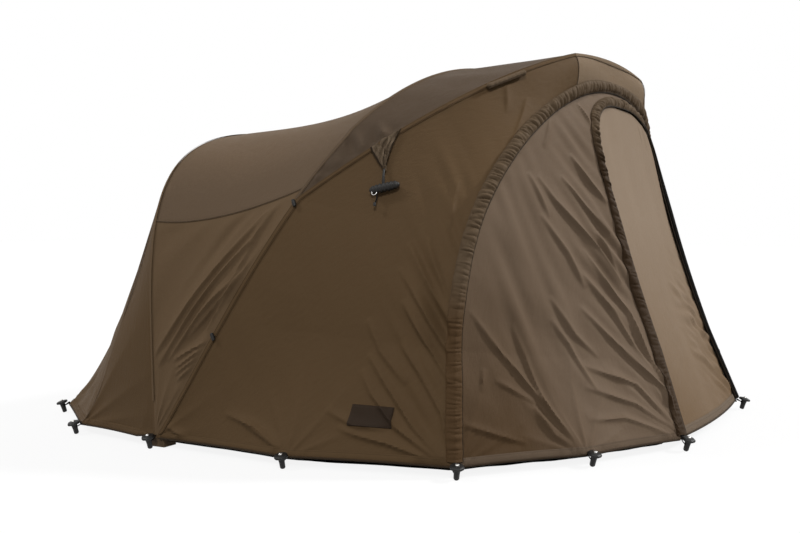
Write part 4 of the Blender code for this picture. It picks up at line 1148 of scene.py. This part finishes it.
def back_foot_lines(shares):
    """The same two lines on the back wall or a rear skirt."""
    tall = back_wall.ruling(shares).clip(SHORTEST_SKIRT)
    return back_wall.at(shares, np.ones(len(shares))), back_wall.at(shares, 1 - HEM_BAND / tall)


for word, side in SIDES:
    hem("hem_side_" + word, foot_lines(side_wall, side, (0.02, 0.995)), side_hem)
    hem("hem_front_" + word, foot_lines(front_wall, side, (0.01, 0.985)), front_hem)
    shares = to_side(np.linspace(FOOT_SHARE, BACK_CORNER_SHARE, 120), side)
    hem("hem_skirt_" + word, back_foot_lines(shares), back_hem)
hem("hem_back", back_foot_lines(np.linspace(BACK_CORNER_SHARE, 1 - BACK_CORNER_SHARE, 200)), back_hem)
across = np.linspace(0.01, 0.99, 90)
door_lines = door.at(across, np.zeros(90)), door.at(across, np.full(90, HEM_BAND / DOOR_HEIGHT))
hem("hem_door", door_lines, door_hem, drops_with_door)


# Gathered covers over the zips. Each has a crown where its zip arches, and legs below it
COVER_BACK = (0.026, 0.034)  # how far a cover lies behind its zip, at its legs and at its crown
COVER_FRONT = (0.023, 0.007)  # how far it lies before the zip
COVER_ROWS = 21
COVER_SEED, COVER_MARKS = 31, 0.022  # the gathers change from one mark to the next
LEG_DEPTH = 0.38  # the share of the gathers' depth that a leg has
GATHER_DRAW = 0.0040  # how far a gather draws in the cover's edge
FLAT_LEG_TOP, SHADOW_ROPE_TOP = 1.17, 1.15  # below these the door cover's right leg lies flat, with the black rope of painted shadow along the door's edge
BACK_CORD = 0.7  # the share of the front edge's cord that the back edge has


def cover(name, wall, other_at, node, count, finish, gathers_from, flat_right=False):
    """A ruffled flap over a zip, drawn in at every gather. It runs from the wall behind the zip to the
    cloth before it."""
    s = np.linspace(0.004, 0.996, count)
    middle = wall.surface(s, np.ones(count))
    height = middle[:, 2]
    along = run_lengths(middle, 0)
    luck = np.random.default_rng(COVER_SEED)
    marks = np.arange(0.0, along[-1] + 0.1, COVER_MARKS)

    def wander(low, high):
        return np.interp(along, marks, luck.uniform(low, high, len(marks)))

    gathers = [(gap, wander(-0.55, 0.55), wander(0.25, 1.0), wander(-0.9, 0.9)) for gap in GATHERS]
    crown = eased((height - gathers_from[0]) / gathers_from[1])
    wall_normal = wall.normal(s, np.full(count, 0.995))
    right_leg = (s > 0.5) * eased((FLAT_LEG_TOP - height) / 0.06) if flat_right else 0.0 * s
    rows = []
    for t in np.linspace(0.0, 1.0, COVER_ROWS):
        reach = lerp(-lerp(*COVER_BACK, crown), lerp(*COVER_FRONT, crown), t)
        ruffle = 0.0
        for (gap, drift, depth, slant), share in zip(gathers, (1.0 - 0.6 * t, 0.35 + 0.65 * t)):
            phase = math.pi * (along / gap + drift + slant * (t - 0.5))
            ruffle = ruffle + share * depth * (np.abs(np.sin(phase)) ** 0.75 - 0.35)
        ruffle = ruffle * lerp(LEG_DEPTH, 1.0, crown) * math.sin(math.pi * min(0.12 + 0.80 * t, 1.0))
        arched = COVER_PUFF * math.sin(math.pi * t) ** 0.5
        puff = 0.0030 + (1.0 - 0.9 * right_leg) * np.maximum(arched + RUFFLE * ruffle, 0.0)
        draw = GATHER_DRAW * ruffle * math.cos(math.pi * t)
        before, other_normal = other_at(s, np.maximum(reach, 0.0))
        behind = wall.at(s, 1.0 - np.maximum(-reach + draw, 0.0) / wall.ruling(s))
        place = np.where((reach < 0)[:, None], behind, before)
        out = unit(lerp(wall_normal, other_normal, eased((reach + 0.012) / 0.024)[:, None]))
        rows.append(place + out * puff[:, None])
    points = np.stack(rows, axis=1)
    piece = Piece().sheet(points, finish)
    piece.rope(points[::3, -1], COVER_CORD, piping_finish, 6)
    piece.rope(points[::3, 0], COVER_CORD * BACK_CORD, finish, 6)
    # A black rope down the door's right edge, growing downwards: painted shadow of the flap's edge
    if flat_right:
        way_out = unit(lerp(wall_normal, other_at(s, 0.0 * s)[1], 0.5))
        grown = lerp(0.0028, SHADOW_ROPE_RADIUS, eased((SHADOW_ROPE_TOP - height) / 0.40))
        edge = middle + way_out * (grown + 0.004)[:, None]
        shadow_side = s > 0.5
        piece.rope(edge[shadow_side][::4], grown[shadow_side][::4], shadow_rope_finish, 10)
    made = piece.made(name)
    cords = 2 * math.pi * COVER_CORD * (1.0 + BACK_CORD)
    as_cloth(points, [node], turned_in=cords)
    folds_with_walls(made)


def over_front_panel(s, reach):
    """Places on the front panel a way past the outer zip, and the way out there."""
    half, side = halves(s)
    share = to_side(outer_share(half), side)
    v = reach / front_wall.ruling(share)
    return front_wall.at(share, v), front_wall.normal(share, np.full(len(s), 0.005))


def over_door(s, reach):
    """Places over the door's edge a way past the door zip, and the way out there."""
    ones = np.ones(len(s))
    middle = front_wall.surface(s, ones)
    across = unit(middle - front_wall.surface(s, 0.98 * ones))
    return middle + across * reach[:, None], front_wall.normal(s, 0.995 * ones)


cover("outer_cover_cloth", side_wall, over_front_panel, "outer_zip_cover", 1500,
      outer_cover_finish, gathers_from=(0.50, 0.30))
cover("door_cover_cloth", front_wall, over_door, "door_zip_cover", 1100,
      door_cover_finish, gathers_from=(0.72, 0.25), flat_right=True)


# Zips: a tape under the cloth's edges and the coil along its middle
TAPE_UNDER = 0.0020  # how far the tape lies under the cloth
# From a zip's middle to its tape's edges
TAPE_REACH, FRONT_TAPE_REACH, DOOR_TAPE_REACH = 0.012, 0.013, 0.0075
COIL_RADIUS = 0.0032


def zip_piece(name, outside, inside, line, node):
    """outside and inside are the two edges of the tape; the coil runs between them."""
    middle = line - inward(line) * 0.0006
    rows = [outside, lerp(outside, middle, 0.6), middle, lerp(middle, inside, 0.4), inside]
    piece = Piece().sheet(np.stack(rows, axis=1), tape_finish)
    piece.rope(middle - inward(middle) * 0.0010, COIL_RADIUS, coil, 8)
    fitted(piece, name, folds_with_walls, node)


s = np.linspace(0.0, 1.0, 700)
half, side = halves(s)
tape_edge = side_wall.at(s, 1 - TAPE_REACH / side_wall.ruling(s), -TAPE_UNDER)
front_s = to_side(outer_share(half), side)
front_side = front_wall.at(front_s, FRONT_TAPE_REACH / front_wall.ruling(front_s), -TAPE_UNDER)
line = sided(outer_zip_line(outer_share(half)), side)
zip_piece("outer_zip_coil", tape_edge, front_side, line, "outer_zip")
tape_edge = front_wall.at(s, 1 - TAPE_REACH / front_wall.ruling(s), -TAPE_UNDER)
line = sided(door_zip_line(half), side)
zip_piece("door_zip_coil", tape_edge, line - unit(tape_edge - line) * DOOR_TAPE_REACH, line, "door_zip")


# Seams of the roof: a stitched band along the front edge, and flat seams over the ribs
def edge_band(name, s, finish, body):
    """A band on the side wall that runs along s, just below the front edge."""
    length = side_wall.ruling(s)
    lines = []
    for t in np.linspace(0.0, 1.0, 7):
        v = np.clip(EDGE_BAND * t / length, 0.0, 1.0)
        lines.append(side_wall.at(s, v, 0.0015 + 0.0015 * math.sin(math.pi * t)))
    points = np.stack(lines, axis=1)
    made = Piece().sheet(points - inward(points) * 0.0015, finish).made(name)
    as_cloth(points, [])
    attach(made, body)


edge_band("front_edge_band", np.linspace(corner_share, 1 - corner_share, 160), brow_finish, "visor")
for word, side in SIDES:
    brow_s = to_side(np.linspace(edge_shoulder_share, corner_share, 200), side)
    edge_band("brow_edge_band_" + word, brow_s, edge_finish, "visor")
    leg_s = to_side(np.linspace(0.004, edge_shoulder_share, 240), side)
    edge_band("front_edge_band_" + word, leg_s, edge_finish, "main_rib")


def line_seam(name, route, width, finish, move, puff=0.002):
    """A flat seam of a width, laid over a line."""
    out = -inward(route)
    across = np.cross(unit(np.gradient(route, axis=0)), inward(route))
    rows = []
    for t in np.linspace(-0.5, 0.5, 5):
        rows.append(route + across * width * t + out * (0.0020 + puff * math.cos(math.pi * t)))
    fitted(Piece().sheet(np.stack(rows, axis=1), finish), name, move)


SEAM_WIDTH = 0.012
# The seams take the roof's colours, with their painted light and shade
seam_finish = band_finish("roof_seam_stitched", shade(ROOF_PAINTED_SHADING, 0.93), SEAM_WIDTH, 0.4, 0.6)
rear_seam_finish = band_finish("rear_seam_stitched", REAR_SIDE_PAINTED_SHADING, SEAM_WIDTH, 0.4, 0.85)
main_route = main_line(np.linspace(shoulder_share, 1 - shoulder_share, 360))
line_seam("main_rib_seam", main_route, SEAM_WIDTH, seam_finish, rides_on("main_rib"))
rear_route = rear_line(np.linspace(0.03, 0.97, 420))
line_seam("rear_rib_seam", rear_route, SEAM_WIDTH, rear_seam_finish, rides_on("rear_rib"), puff=0.0008)
for word, side in SIDES:
    for name, cloth, share, v_ends, count, width, move in (
        ("roof_side_seam_", rear_roof, SEAM_SHARE, (0.004, 0.996), 160, 0.009, bends_at_hubs),
        ("brow_corner_seam_", side_wall, corner_share, (0.03, 0.97), 60, 0.008, folds_with_walls),
        ("back_corner_seam_", back_wall, BACK_CORNER_SHARE, (0.004, 1.0), 120, 0.009, folds_with_walls),
    ):
        route = cloth.surface(np.full(count, to_side(share, side)), np.linspace(*v_ends, count))
        line_seam(name + word, route, width, seam_finish, move)


# Blank patch
PATCH_AT, PATCH_SIZE, PATCH_COUNTS = (0.0356, 0.7245), (0.068, 0.145), (30, 50)
# Lifts of the patch's outermost row and of the rest, and what its field adds
PATCH_EDGE, PATCH_LIFT, PATCH_FIELD = 0.0012, 0.0042, 0.0012


def patch_steps(k):
    """Places along one way of the patch, from -0.5 to 0.5, and how many steps each is from the end."""
    place = np.arange(PATCH_COUNTS[k])
    return np.linspace(-0.5, 0.5, PATCH_COUNTS[k]), np.minimum(place, place[::-1])


def side_patch():
    """A plain patch, raised a little inside its edge."""
    s, v = PATCH_AT
    ends = side_wall.surface(np.array([s - 0.01, s + 0.01]), np.full(2, v))
    edge_length = np.linalg.norm(ends[1] - ends[0]) / 0.02
    ruling_length = float(side_wall.ruling(np.array([s]))[0])
    (up, from_foot), (across, from_side_edge) = patch_steps(0), patch_steps(1)
    patch_s = s + up[:, None] * PATCH_SIZE[0] / edge_length
    patch_v = v + across[None, :] * PATCH_SIZE[1] / ruling_length
    rim = np.minimum(from_foot[:, None], from_side_edge[None, :])
    lift = np.where(rim > 0, PATCH_LIFT, PATCH_EDGE) + np.where(rim > 2, PATCH_FIELD, 0.0)
    points = side_wall.at(patch_s, patch_v, lift)
    made = Piece().sheet(points, patch_finish).made("side_patch_blank")
    as_cloth(points, ["side_patch"])
    folds_with_walls(made)


side_patch()

# Tabs with webbing edges, bar clips, rolled straps and toggles
TAB_LEFT, TAB_RIGHT, TAB_TIP, TAB_TAPER = 0.2471, 0.2700, (0.2344, 0.238), 0.86
TAB_LIFT, TAB_PUCKER, TAB_SEED, TAB_SPREAD = 0.0095, 0.0045, 51, (0.16, 0.13)
TAB_COUNTS, TAB_MIDDLE = (36, 26), 12  # its grid, and the column down its middle
TAB_EDGE = (0.0, 0.003, 0.006)  # lines of the webbing on a tab's edges
CLIP_SWING_HEIGHT = 0.009
LOOP_SHIFTS, LOOP_RADIUS = (-0.004, 0.0, 0.004), 0.0019
BAR_HALF, BAR_RADIUS = 0.045, 0.0142
BAR_TILT = math.radians(14)
RIB_PITCH, RIB_DEPTH, BAR_TAPER = 0.0125, 0.0014, 0.0040  # of the bar's ribbed grip
HOOK_LENGTH, HOOK_RADII = 0.062, (0.0035, 0.0050)
RING_SIZE, RING_WIRE = (0.0085, 0.0105), 0.0012
TAIL_LENGTH, TAIL_RADIUS = 0.052, 0.0024
TAIL_BEAD = [(0.0005, -0.007), (0.0046, -0.005), (0.0052, 0.0), (0.0040, 0.006), (0.0005, 0.007)]
STRAP_ENDS, STRAP_LIFT = ((0.3345, 0.072), (0.3645, 0.106)), 0.0150
STRAP_RADIUS, STRAP_LAYER, STRAP_END_RADIUS = 0.0088, 0.0010, 0.0102
TOGGLE_SHARES = (0.0847, 0.1864)  # up the front edge
TOGGLE_PROFILE = [(0.001, -0.014), (0.0055, -0.012), (0.0072, 0.0), (0.0055, 0.012), (0.001, 0.014)]


def tab_places(down, across):
    middle = lerp((TAB_LEFT + TAB_RIGHT) / 2, TAB_TIP[0], down)
    width = (TAB_RIGHT - TAB_LEFT) * (1.0 - TAB_TAPER * down)
    return middle + across * width, lerp(0.008, TAB_TIP[1], down)


def wall_axes(s, v, side):
    """Point, outward normal, the way down the wall and the way along it."""
    share = np.array([to_side(s, side)])
    point = side_wall.surface(share, np.array([v]))[0]
    normal = side_wall.normal(share, np.array([v]))[0]
    down = unit(np.array([0.0, 0.0, -1.0]) + normal * normal[2])
    return point, normal, down, np.cross(normal, down)


def tab(word, side):
    """A puckered cloth triangle with a webbing strip on both edges."""
    down, across = np.meshgrid(
        np.linspace(0, 1, TAB_COUNTS[0]), np.linspace(-0.5, 0.5, TAB_COUNTS[1]), indexing="ij")
    tab_s, tab_v = tab_places(down, across)
    tab_s = to_side(tab_s, side)
    spots = np.stack([across * TAB_SPREAD[0], down * TAB_SPREAD[1]], axis=-1)
    pucker = TAB_PUCKER * uneven(spots, 0.012, TAB_SEED, (1.0, 2.0)) * (1 - 2 * np.abs(across)) ** 0.5
    points = side_wall.at(tab_s, tab_v, TAB_LIFT + pucker)
    piece = Piece().sheet(points, tab_finish)
    for edge in (0, -1):
        line = points[:, edge]
        to_middle = unit(points[:, TAB_MIDDLE] - line)
        normal = side_wall.normal(tab_s[:, edge], tab_v[:, edge])
        tape = [line + to_middle * (w - 0.002) + normal * 0.0012 for w in TAB_EDGE]
        piece.sheet(np.stack(tape, axis=1), tab_edge_finish)
    made = piece.made("tab_cloth_" + word)
    as_cloth(points, ["tab_" + word], turned_in=0.016)
    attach(made, "visor")


def tab_loop(word, hang, normal, down, along):
    """Three turns of webbing that hold the clip at the tab's tip."""
    loop = Piece()
    for shift in LOOP_SHIFTS:
        ring = hang + along * shift - down * 0.012
        turn = np.linspace(-0.15, math.pi + 0.15, 14)
        path = [ring + down * 0.016 * math.sin(t) + normal * 0.004 * math.cos(t) for t in turn]
        loop.rope(path, LOOP_RADIUS, strap_finish, 6)
    fitted(loop, "tab_loop_" + word, rides_on("visor"))


def bar_clip(word, side, hang, normal, down, along):
    """A ribbed grip with a hook, a bright ring and a short tail of cord."""
    clip = Piece()
    tilted = along * math.cos(BAR_TILT) - down * math.sin(BAR_TILT) * side
    bar = hang + down * 0.067 + normal * 0.010 + tilted * 0.006 * side
    reach = np.linspace(-BAR_HALF, BAR_HALF, 47)
    ribs = RIB_DEPTH * np.cos(reach * 2 * math.pi / RIB_PITCH)
    grip = BAR_RADIUS + ribs - BAR_TAPER * (reach / BAR_HALF) ** 4
    clip.rope([bar + tilted * r for r in reach], grip, plastic_finish, 14)
    drops = np.linspace(0.0, HOOK_LENGTH, 12)
    hook = [hang + down * d + normal * (0.004 + 0.004 * math.sin(d * 70)) for d in drops]
    clip.rope(hook, np.linspace(*HOOK_RADII, 12), plastic_finish, 8)
    middle = bar - tilted * (BAR_HALF - 0.013) * side + down * 0.010 + normal * 0.006
    wide, tall = RING_SIZE
    turn = np.linspace(0, 1.75 * math.pi, 22)
    ring = [middle + tilted * wide * math.cos(t) + down * tall * math.sin(t) for t in turn]
    clip.rope(ring, RING_WIRE, steel_finish, 8)
    top = bar - tilted * (BAR_HALF - 0.016) * side
    drops = np.linspace(0, TAIL_LENGTH, 10)
    tail = [top + down * d + along * 0.006 * math.sin(d * 60) + normal * 0.002 for d in drops]
    clip.rope(tail, TAIL_RADIUS, cord_finish, 6)
    clip.lathe(TAIL_BEAD, tail[-1], down, plastic_finish, 12)
    fitted(clip, "bar_clip_" + word, rides_on("clip_" + word), "clip_" + word)


def rolled_strap(word, side):
    """A roll of webbing in layers, thicker at both ends."""
    ends = []
    for share, v in STRAP_ENDS:
        ends.append(side_wall.at(np.array([to_side(share, side)]), np.array([v]), STRAP_LIFT)[0])
    size = STRAP_RADIUS + STRAP_LAYER * np.sin(np.linspace(0, 26, 40)) ** 2
    size[:3] = size[-3:] = STRAP_END_RADIUS
    roll = Piece().rope(np.linspace(ends[0], ends[1], 40), size, strap_finish, 14)
    fitted(roll, "rolled_strap_" + word, rides_on("visor"), "strap_roll_" + word)


def edge_toggle(name, share, side):
    """A small toggle on the front edge, on a bent cord."""
    point, normal, down, along = wall_axes(share, 0.010, side)
    toggle = Piece()
    toggle.lathe(TOGGLE_PROFILE, point + normal * 0.010, down + along * 0.4, plastic_finish, 14)
    heights = np.linspace(0.0, 0.011, 6)
    cord = [point + normal * h + along * 0.006 * math.sin(h * 300) for h in heights]
    toggle.rope(cord, 0.0022, cord_finish, 6)
    fitted(toggle, name, rides_on("main_rib"))


for word, side in SIDES:
    tab(word, side)
    tip, normal, down, along = wall_axes(*TAB_TIP, side)
    hang = tip + normal * CLIP_SWING_HEIGHT + down * 0.010
    tab_loop(word, hang, normal, down, along)
    bar_clip(word, side, hang, normal, down, along)
    rolled_strap(word, side)
    for k, share in enumerate(TOGGLE_SHARES):
        edge_toggle("edge_toggle_" + str(k + 1) + "_" + word, share, side)

# Pegs: moulded heads with a bright pin, each with its cord loop to the hem
PEG_PLACES = {
    "back": (BACK_PEG_2, (-0.60, 0.80)),
    "rear_corner": (BACK_PEG_1, (-0.95, 0.30)),
    "hub": ((-HUB_SPREAD - 0.004, 0.0), (-1.0, 0.0)),
    "side": (SIDE_PEG, (-1.0, -0.05)),
    "corner": (CORNER_PEG, (-0.80, -0.60)),
    "front": (FRONT_PEG, (-0.45, -0.89)),
    "door": ((DOOR_FOOT[0] - 0.020, DOOR_FOOT[1]), (-0.35, -0.94)),
}
PEG_OUT, PEG_LEAN = 0.019, 0.30
PEG_PROFILE = [
    (0.0005, 0.0), (0.0062, 0.0005), (0.0088, 0.004), (0.0092, 0.020), (0.0104, 0.0300), (0.0106, 0.0350),
    (0.0160, 0.0368), (0.0214, 0.0386), (0.0226, 0.0412), (0.0224, 0.0438), (0.0206, 0.0462),
    (0.0150, 0.0482), (0.0090, 0.0490), (0.0005, 0.0492),
]
PIN_PROFILE = [(0.0005, 0.0480), (0.0062, 0.0486), (0.0066, 0.0512), (0.0052, 0.0528), (0.0005, 0.0534)]
PEG_NECK = 0.026  # how high up the peg its loop lies
LOOP_WIDTH, LOOP_CORD = 0.0135, 0.0019
SLIDER_WAIST = [
    (0.0030, 0.0), (0.0052, 0.004), (0.0050, 0.010), (0.0036, 0.014),
    (0.0052, 0.019), (0.0048, 0.024), (0.003, 0.026),
]
PULLER_ENDS, PULLER_RADIUS = (0.004, 0.040), 0.0026


def peg_loop(hem_point, neck):
    """The cord's path, from the hem round the peg's neck and back."""
    along = unit(np.cross(neck - hem_point, (0, 0, 1)))
    loop = []
    for t in np.linspace(0.0, 2 * math.pi, 29):
        far = 0.5 - 0.5 * math.cos(t)
        bow = along * LOOP_WIDTH * math.sin(t) * (0.4 + 0.6 * far)
        rise = np.array([0, 0, 0.002 * math.sin(2 * t)])
        loop.append(lerp(hem_point, neck, far * 1.12) + bow + rise)
    return loop


for place, (at, away) in PEG_PLACES.items():
    for word, side in SIDES:
        foot = np.array([(at[0] + away[0] * PEG_OUT) * side, at[1] + away[1] * PEG_OUT, -STAND])
        axis = (away[0] * side * PEG_LEAN, away[1] * PEG_LEAN, 1.0)
        peg = Piece()
        peg.lathe(PEG_PROFILE, foot, axis, peg_finish, 36, 6, 0.030)
        peg.lathe(PIN_PROFILE, foot, axis, steel_finish, 16)
        ending = place + "_" + word
        fitted(peg, "peg_head_" + ending, rides_on("root"), "peg_" + ending)
        path = peg_loop(np.array([at[0] * side, at[1], 0.010]), foot + unit(np.array(axis)) * PEG_NECK)
        tie = Piece().rope(path, LOOP_CORD, cord_finish, 6)
        fitted(tie, "peg_loop_" + ending, rides_on("root"))

# Zip sliders with pullers
for zip_name, foot, top in (("door", DOOR_FOOT, DOOR_LEG_TOP), ("outer", CORNER_PEG, OUTER_LEG_TOP)):
    for word, side in SIDES:
        node = "slider_" + zip_name + "_" + word
        low, high = (np.array(corner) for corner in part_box(node))
        rising = unit(np.array(top) - np.array([foot[0], foot[1], HEM_HEIGHT])) * (side, 1, 1)
        middle = (low + high) / 2 - (0, 0, STAND)
        out = -inward(middle)
        out = unit(out - rising * np.dot(out, rising))
        body = middle + rising * 0.018 - out * 0.0045
        slider = Piece()
        waist = [body + rising * (h - 0.013) for _, h in SLIDER_WAIST]
        slider.rope(waist, [w for w, _ in SLIDER_WAIST], plastic_finish, 12)
        puller = [body - rising * d + out * 0.0015 for d in np.linspace(*PULLER_ENDS, 14)]
        thickness = PULLER_RADIUS + 0.0010 * np.sin(np.linspace(0, math.pi, 14))
        slider.rope(puller, thickness, plastic_finish, 8)
        fitted(slider, "zip_slider_" + zip_name + "_" + word, rides_on(node), node)

# Groundsheet
SHEET_SHARE = 0.935  # its size next to the pegs' outline
SHEET_MIDDLE = np.array([0.0, -0.37])
SHEET_LIFT, SHEET_BUMPS, SHEET_BUMP_SIZE, SHEET_SEED = 0.0025, 0.0008, 0.09, 41
outline = [(-HUB_SPREAD, 0.0), SIDE_PEG, CORNER_PEG, FRONT_PEG, DOOR_FOOT]
outline += [(-x, y) for x, y in outline[::-1]]
outline += [(-BACK_PEG_1[0], BACK_PEG_1[1]), (-BACK_PEG_2[0], BACK_PEG_2[1]), BACK_PEG_2, BACK_PEG_1]
corners = SHEET_MIDDLE + (np.array(outline + outline[:1]) - SHEET_MIDDLE) * SHEET_SHARE
around = smooth_curve(np.column_stack([corners, np.zeros(len(corners))]))
rim = around(np.linspace(0, 1, 240, endpoint=False))
rings = []
for t in np.linspace(0.0003, 1.0, 70):
    ring = lerp(np.array([*SHEET_MIDDLE, 0.0]), rim, t)
    ring[:, 2] = SHEET_LIFT + SHEET_BUMPS * uneven(ring[:, :2], SHEET_BUMP_SIZE, SHEET_SEED) - STAND
    rings.append(ring)
made = Piece().grid(np.array(rings), ground_finish, closed=True, outward=False).made("groundsheet_cloth")
area = 0.5 * abs(float(np.sum(rim[:, 0] * np.roll(rim[:, 1], -1) - rim[:, 1] * np.roll(rim[:, 0], -1))))
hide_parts("groundsheet")
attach(made, "root")

# Finishes of the solids that stay
for finish, names in (
    (tube_finish, ["main_rib", "rear_rib", "visor_bow"]),
    (steel_finish, ["hub_bolt_left", "hub_bolt_right"]),
    (hub_finish, ["hub_left", "hub_right"]),
    (plastic_finish, [part + "_" + word for word, _ in SIDES
                      for part in ("main_lug", "rear_lug", "visor_lug", "shoulder")]),
):
    for name in names:
        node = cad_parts[name]
        node.data.materials.clear()
        node.data.materials.append(finish)


# Floor, light and camera
def floor_finish():
    """A pale floor that shows white where nothing shades it, and keeps the tent's shadow."""
    paint = Paint("pale_floor", 0.9)
    paint.shine(Base_Color=(FLOOR_GREY, FLOOR_GREY, FLOOR_GREY))
    glow = paint.node("ShaderNodeEmission", None, {"Color": (1.0, 1.0, 1.0), "Strength": FLOOR_GLOW})
    seen = paint.looked_at() * FLOOR_GLOW_SHARE
    plain = Amount(paint, paint.shader.outputs[0])
    mixed = paint.node("ShaderNodeMixShader", None, {0: seen, 1: plain, 2: glow})
    paint.set(paint.tree.nodes["Material Output"].inputs["Surface"], mixed)
    return paint.material


FLOOR_GREY, FLOOR_GLOW, FLOOR_GLOW_SHARE = 0.22, 1.75, 0.5
FLOOR_HALF, FLOOR_DROP = 30, 0.001
floor_corners = [(x * FLOOR_HALF, y * FLOOR_HALF, 0) for x, y in ((-1, -1), (1, -1), (1, 1), (-1, 1))]
floor_mesh = bpy.data.meshes.new("floor")
floor_mesh.from_pydata(floor_corners, [], [(0, 1, 2, 3)])
floor_mesh.materials.append(floor_finish())
floor = bpy.data.objects.new("floor", floor_mesh)
floor.location.z = -FLOOR_DROP
bpy.context.scene.collection.objects.link(floor)


def world_light(strength):
    """Even light, with a white background for what looks straight at it."""
    world = bpy.data.worlds.new("studio")
    bpy.context.scene.world = world
    world.use_nodes = True
    nodes = Nodes(world.node_tree)
    back = nodes.node("ShaderNodeBackground", None, {"Color": (1.0, 1.0, 1.0), "Strength": strength})
    white = nodes.node("ShaderNodeBackground", None, {"Color": (1.0, 1.0, 1.0)})
    mixed = nodes.node("ShaderNodeMixShader", None, {0: nodes.looked_at(), 1: back, 2: white})
    nodes.set(world.node_tree.nodes["World Output"].inputs["Surface"], mixed)


def sun(name, towards, strength, angle):
    """A soft far lamp; towards is the way from the tent to the lamp."""
    lamp = bpy.data.lights.new(name, "SUN")
    lamp.energy = strength
    lamp.angle = math.radians(angle)
    made = bpy.data.objects.new(name, lamp)
    x, y, z = towards
    made.rotation_euler = (math.atan2(math.hypot(x, y), z), 0.0, math.atan2(x, -y))
    bpy.context.scene.collection.objects.link(made)


WORLD_LIGHT = 0.25
SUNS = (  # name, the way to the lamp, strength, and how wide it looks in degrees
    ("key", (0.75, -1.0, 0.95), 2.3, 6),
    ("back_left", (-0.60, 0.80, 1.00), 0.75, 10),
    ("left_fill", (-0.80, -0.40, 0.70), 1.05, 8),
)
world_light(WORLD_LIGHT)
for lamp in SUNS:
    sun(*lamp)

# The camera that was solved from the photo
CAMERA_PLACE = (-4.055, -2.502, 0.774)
CAMERA_DOWN, CAMERA_HEADING = 2.382, -60.958  # in degrees
CAMERA_LENS, CAMERA_SENSOR = 47.74, 36.0
camera = bpy.data.objects.new("camera", bpy.data.cameras.new("camera"))
camera.location = CAMERA_PLACE
camera.rotation_euler = (math.radians(90 - CAMERA_DOWN), 0.0, math.radians(CAMERA_HEADING))
camera.data.lens = CAMERA_LENS
camera.data.sensor_width = CAMERA_SENSOR
bpy.context.scene.collection.objects.link(camera)
bpy.context.scene.camera = camera
bpy.context.scene.view_settings.view_transform = "Standard"
